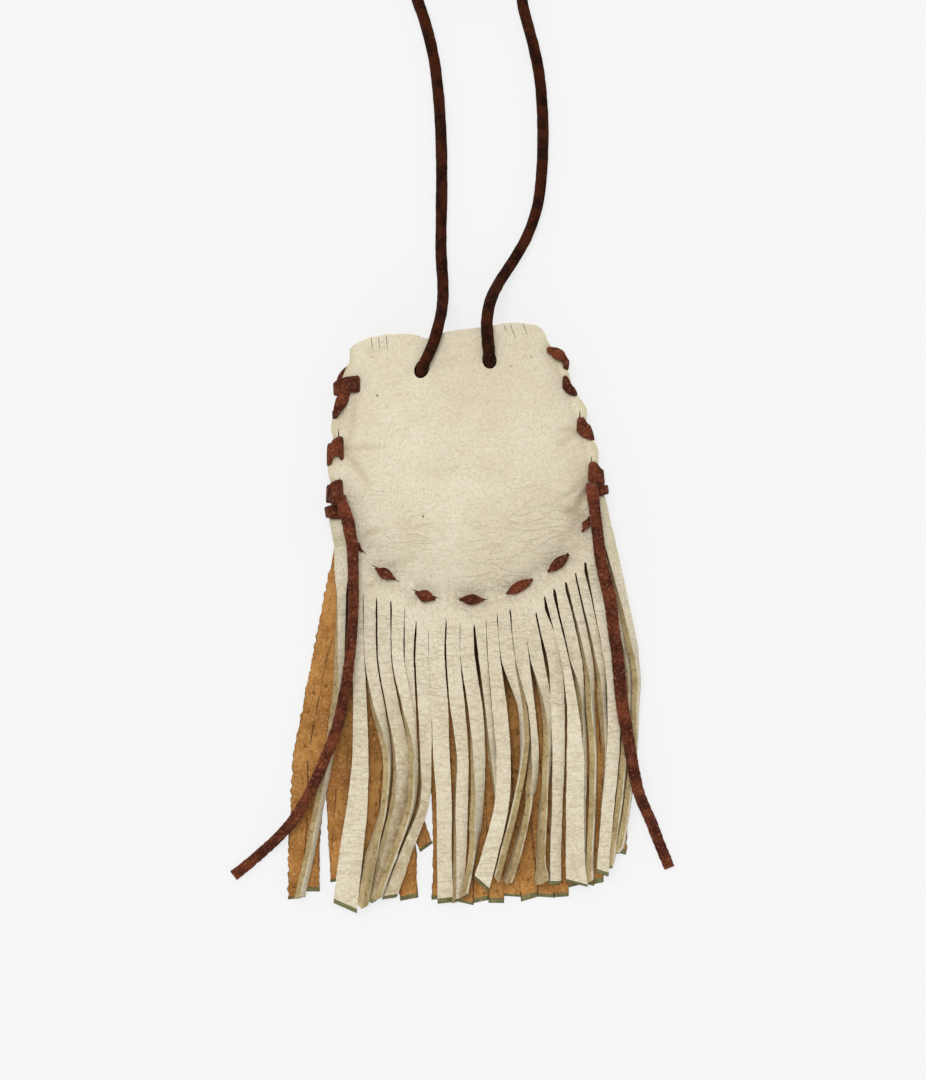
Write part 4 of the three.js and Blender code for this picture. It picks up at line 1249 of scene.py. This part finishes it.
def floor_material():
    n = Nodes("pale_floor")
    n.shader.inputs["Base Color"].default_value = FLOOR_COLOUR
    n.shader.inputs["Roughness"].default_value = 1.0
    n.shader.inputs["Specular IOR Level"].default_value = 0.0
    glow = n.add("ShaderNodeEmission", {"Color": FLOOR_COLOUR, "Strength": 1.0})
    blend = n.add("ShaderNodeMixShader")
    seen = n.add("ShaderNodeLightPath").outputs["Is Camera Ray"]
    n.put(blend.inputs[0], n.times(seen, FLOOR_GLOW))
    n.put(blend.inputs[1], n.shader.outputs[0])
    n.put(blend.inputs[2], glow.outputs[0])
    n.put(n.tree.nodes["Material Output"].inputs["Surface"], blend.outputs[0])
    return n.material


# The painted highlight along the top of a turned strip, and how much finer the nap is where leather was cut
PAINTED_HIGHLIGHT_COLOUR = srgb(236, 226, 198)
CUT_SCALE = 1.3


def make_materials():
    return {
        "grain": grain_leather(),
        "flesh": suede(
            "tan_flesh_side", srgb(208, 152, 84), srgb(164, 110, 55), srgb(226, 176, 116), srgb(102, 62, 28),
            # deep: the colour of the painted shade under the front strips
            deep=srgb(38, 25, 14),
        ),
        "back": suede(
            "khaki_flesh_side", srgb(216, 193, 144), srgb(180, 154, 106), srgb(234, 216, 174),
            srgb(124, 94, 54), painted_highlight=PAINTED_HIGHLIGHT_COLOUR,
        ),
        "edge": suede(
            "khaki_cut_edge", srgb(202, 180, 132), srgb(170, 146, 100), srgb(224, 207, 165),
            srgb(128, 100, 60), CUT_SCALE, painted_highlight=PAINTED_HIGHLIGHT_COLOUR,
        ),
        "tip": suede(
            "olive_cut_end", srgb(150, 146, 96), srgb(106, 104, 58), srgb(186, 180, 132),
            srgb(82, 78, 44), CUT_SCALE,
        ),
        "lace": lace_material(),
        "cord": cord_material(),
    }


def mark_leather(piece, points, marks):
    """Attributes for the leather: folds that run from each stitch, the fringe, the lower body, painted shade
    along the rim, in the folds and under the front strips, and painted shade and highlight at the strips'
    borders.

    The marks of the strips come from the nearest of the points that the panel was made from.
    """
    mesh = piece.data
    places = np.zeros(len(mesh.vertices) * 3)
    mesh.vertices.foreach_get("co", places)
    places = places.reshape(-1, 3)
    tree = kdtree.KDTree(len(points))
    for number, point in enumerate(points):
        tree.insert(point, number)
    tree.balance()
    carried = np.array([marks[tree.find(place)[1]] for place in places])
    places = places[:, :2] / MM
    x, y = places.T
    pinches = np.array(PINCHES)
    offsets = places[:, None, :] - pinches[None]
    distance = np.hypot(offsets[..., 0], offsets[..., 1])
    nearest = distance.argmin(axis=1)
    index = np.arange(len(places))
    away = distance[index, nearest]
    direction = offsets[index, nearest] / np.maximum(away, 0.01)[:, None]
    pull = np.stack([direction[:, 0] * 3.2, direction[:, 1] * 3.2, away * 0.1 + nearest * 4.7], axis=1)
    mesh.attributes.new("pull", "FLOAT_VECTOR", "POINT").data.foreach_set("vector", pull.ravel())

    partings, left, right = (np.array(all_at(edge)) for edge in (PARTINGS, LEFT_EDGE[::-1], RIGHT_EDGE[::-1]))
    line = np.interp(x, partings[:, 0], partings[:, 1])
    room = np.minimum(x - np.interp(y, left[:, 1], left[:, 0]), np.interp(y, right[:, 1], right[:, 0]) - x)
    covered = smooth(np.minimum(x + 37, 36 - x), 0, 3)
    values = {
        "near": np.exp(-((away / 3.6) ** 2)) * smooth(away, 0.5, 1.4),
        "fringe": 1 - smooth(y - line, -4, 1),
        "low": (1 - smooth(y, -22, 16)) * smooth(y - line, -2, 4),
        # rim: painted shade along the outline of the upper body
        "rim": (1 - smooth(room, 0, 2.2)) * smooth(y, -32, -22),
        # deep: painted shade on the back under the front strips, strongest within about 12 mm below where
        # they part, fading out by 80 mm
        "deep": covered * (0.26 + 0.74 * (1 - smooth(line - y, 12, 33)) - 0.26 * smooth(line - y, 58, 80)),
        # Painted shade in the folds, from their depth
        "painted_fold_shade": np.clip(folded(x, y) / 0.7, 0, 1) * smooth(y - line, -1, 1),
        # border: painted shade at the strip borders that lie low
        "border": carried[:, 0],
        # Painted highlight along the top of turned strips
        "painted_highlight": carried[:, 1],
        "worn": carried[:, 2],
    }
    for name, value in values.items():
        mesh.attributes.new(name, "FLOAT", "POINT").data.foreach_set("value", value)


# Stage


def make_floor():
    mesh = bpy.data.meshes.new("floor")
    corners = [(x * FLOOR_HALF, y * FLOOR_HALF, 0) for x, y in ((-1, -1), (1, -1), (1, 1), (-1, 1))]
    mesh.from_pydata(corners, [], [(0, 1, 2, 3)])
    mesh.materials.append(floor_material())
    floor = bpy.data.objects.new("floor", mesh)
    bpy.context.scene.collection.objects.link(floor)
    floor.location = (0, 0, FLOOR_LOW)


def make_light():
    world = bpy.data.worlds.new("studio")
    bpy.context.scene.world = world
    world.use_nodes = True
    background = world.node_tree.nodes["Background"].inputs
    background["Color"].default_value = (1, 1, 1, 1)
    background["Strength"].default_value = WORLD_STRENGTH
    data = bpy.data.lights.new("window", "SUN")
    data.energy = SUN_STRENGTH
    data.angle = math.radians(SUN_ANGLE)
    sun = bpy.data.objects.new("window", data)
    sun.rotation_euler = Vector(SUN_DIRECTION).to_track_quat("-Z", "Y").to_euler()
    bpy.context.scene.collection.objects.link(sun)


bpy.context.scene.view_settings.view_transform = "Standard"
make_camera()
MATERIALS = make_materials()
pieces = neck_cord()

front, front_points, front_marks = leather_panel(
    "front_leather", FRONT_STRIPS, LEVELS, front_height, LEATHER + GAP, GRAIN, FLESH, FRONT_ROWS,
    FRONT_RAGGED, FRONT_SLITS, 0
)
front.data.materials[FLESH] = MATERIALS["back"]
back, back_points, back_marks = leather_panel(
    "back_leather", closed_up(BACK_STRIPS), BACK_LEVELS, back_height, 0, FLESH, GRAIN, BACK_ROWS,
    BACK_RAGGED, [0] * (len(BACK_STRIPS) + 1), 40
)
take_out(front, [thin_lens(*slit, FIRST_CUT) for slit in SLITS + RUNNING_SLITS])
for panel, wrap_cut, running_cut in zip((front, back), WRAP_CUTS, RUNNING_CUTS):
    openings = [thin_lens(*wrap[0], wrap_cut) for wrap in LEFT_WRAPS + RIGHT_WRAPS]
    openings += [thin_lens(*stitch, running_cut) for stitch in RUNNING]
    if panel is front:
        openings += [thin_lens(*slit, LIP_CUT) for slit in LIP_SLITS]
    take_out(panel, openings)
    cut(panel, *cord_holes())
for panel, points, marks, replaced in (
    (front, front_points, front_marks, "front_panel"), (back, back_points, back_marks, "back_panel"),
):
    mark_leather(panel, points, marks)
    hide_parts(replaced)

left_lace = side_lace("left_whip_lace", LEFT_WRAPS, 1, LEFT_TAIL, KNOT, PEEK, 2)
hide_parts("left_side_lace")
right_lace = side_lace("right_whip_lace", RIGHT_WRAPS, -1, RIGHT_TAIL, None, None, 5)
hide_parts("right_side_lace")
seam_lace = bottom_lace()
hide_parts("bottom_lace")

for piece in pieces + [front, back, left_lace, right_lace, seam_lace]:
    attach(piece, BODY)

make_floor()
make_light()
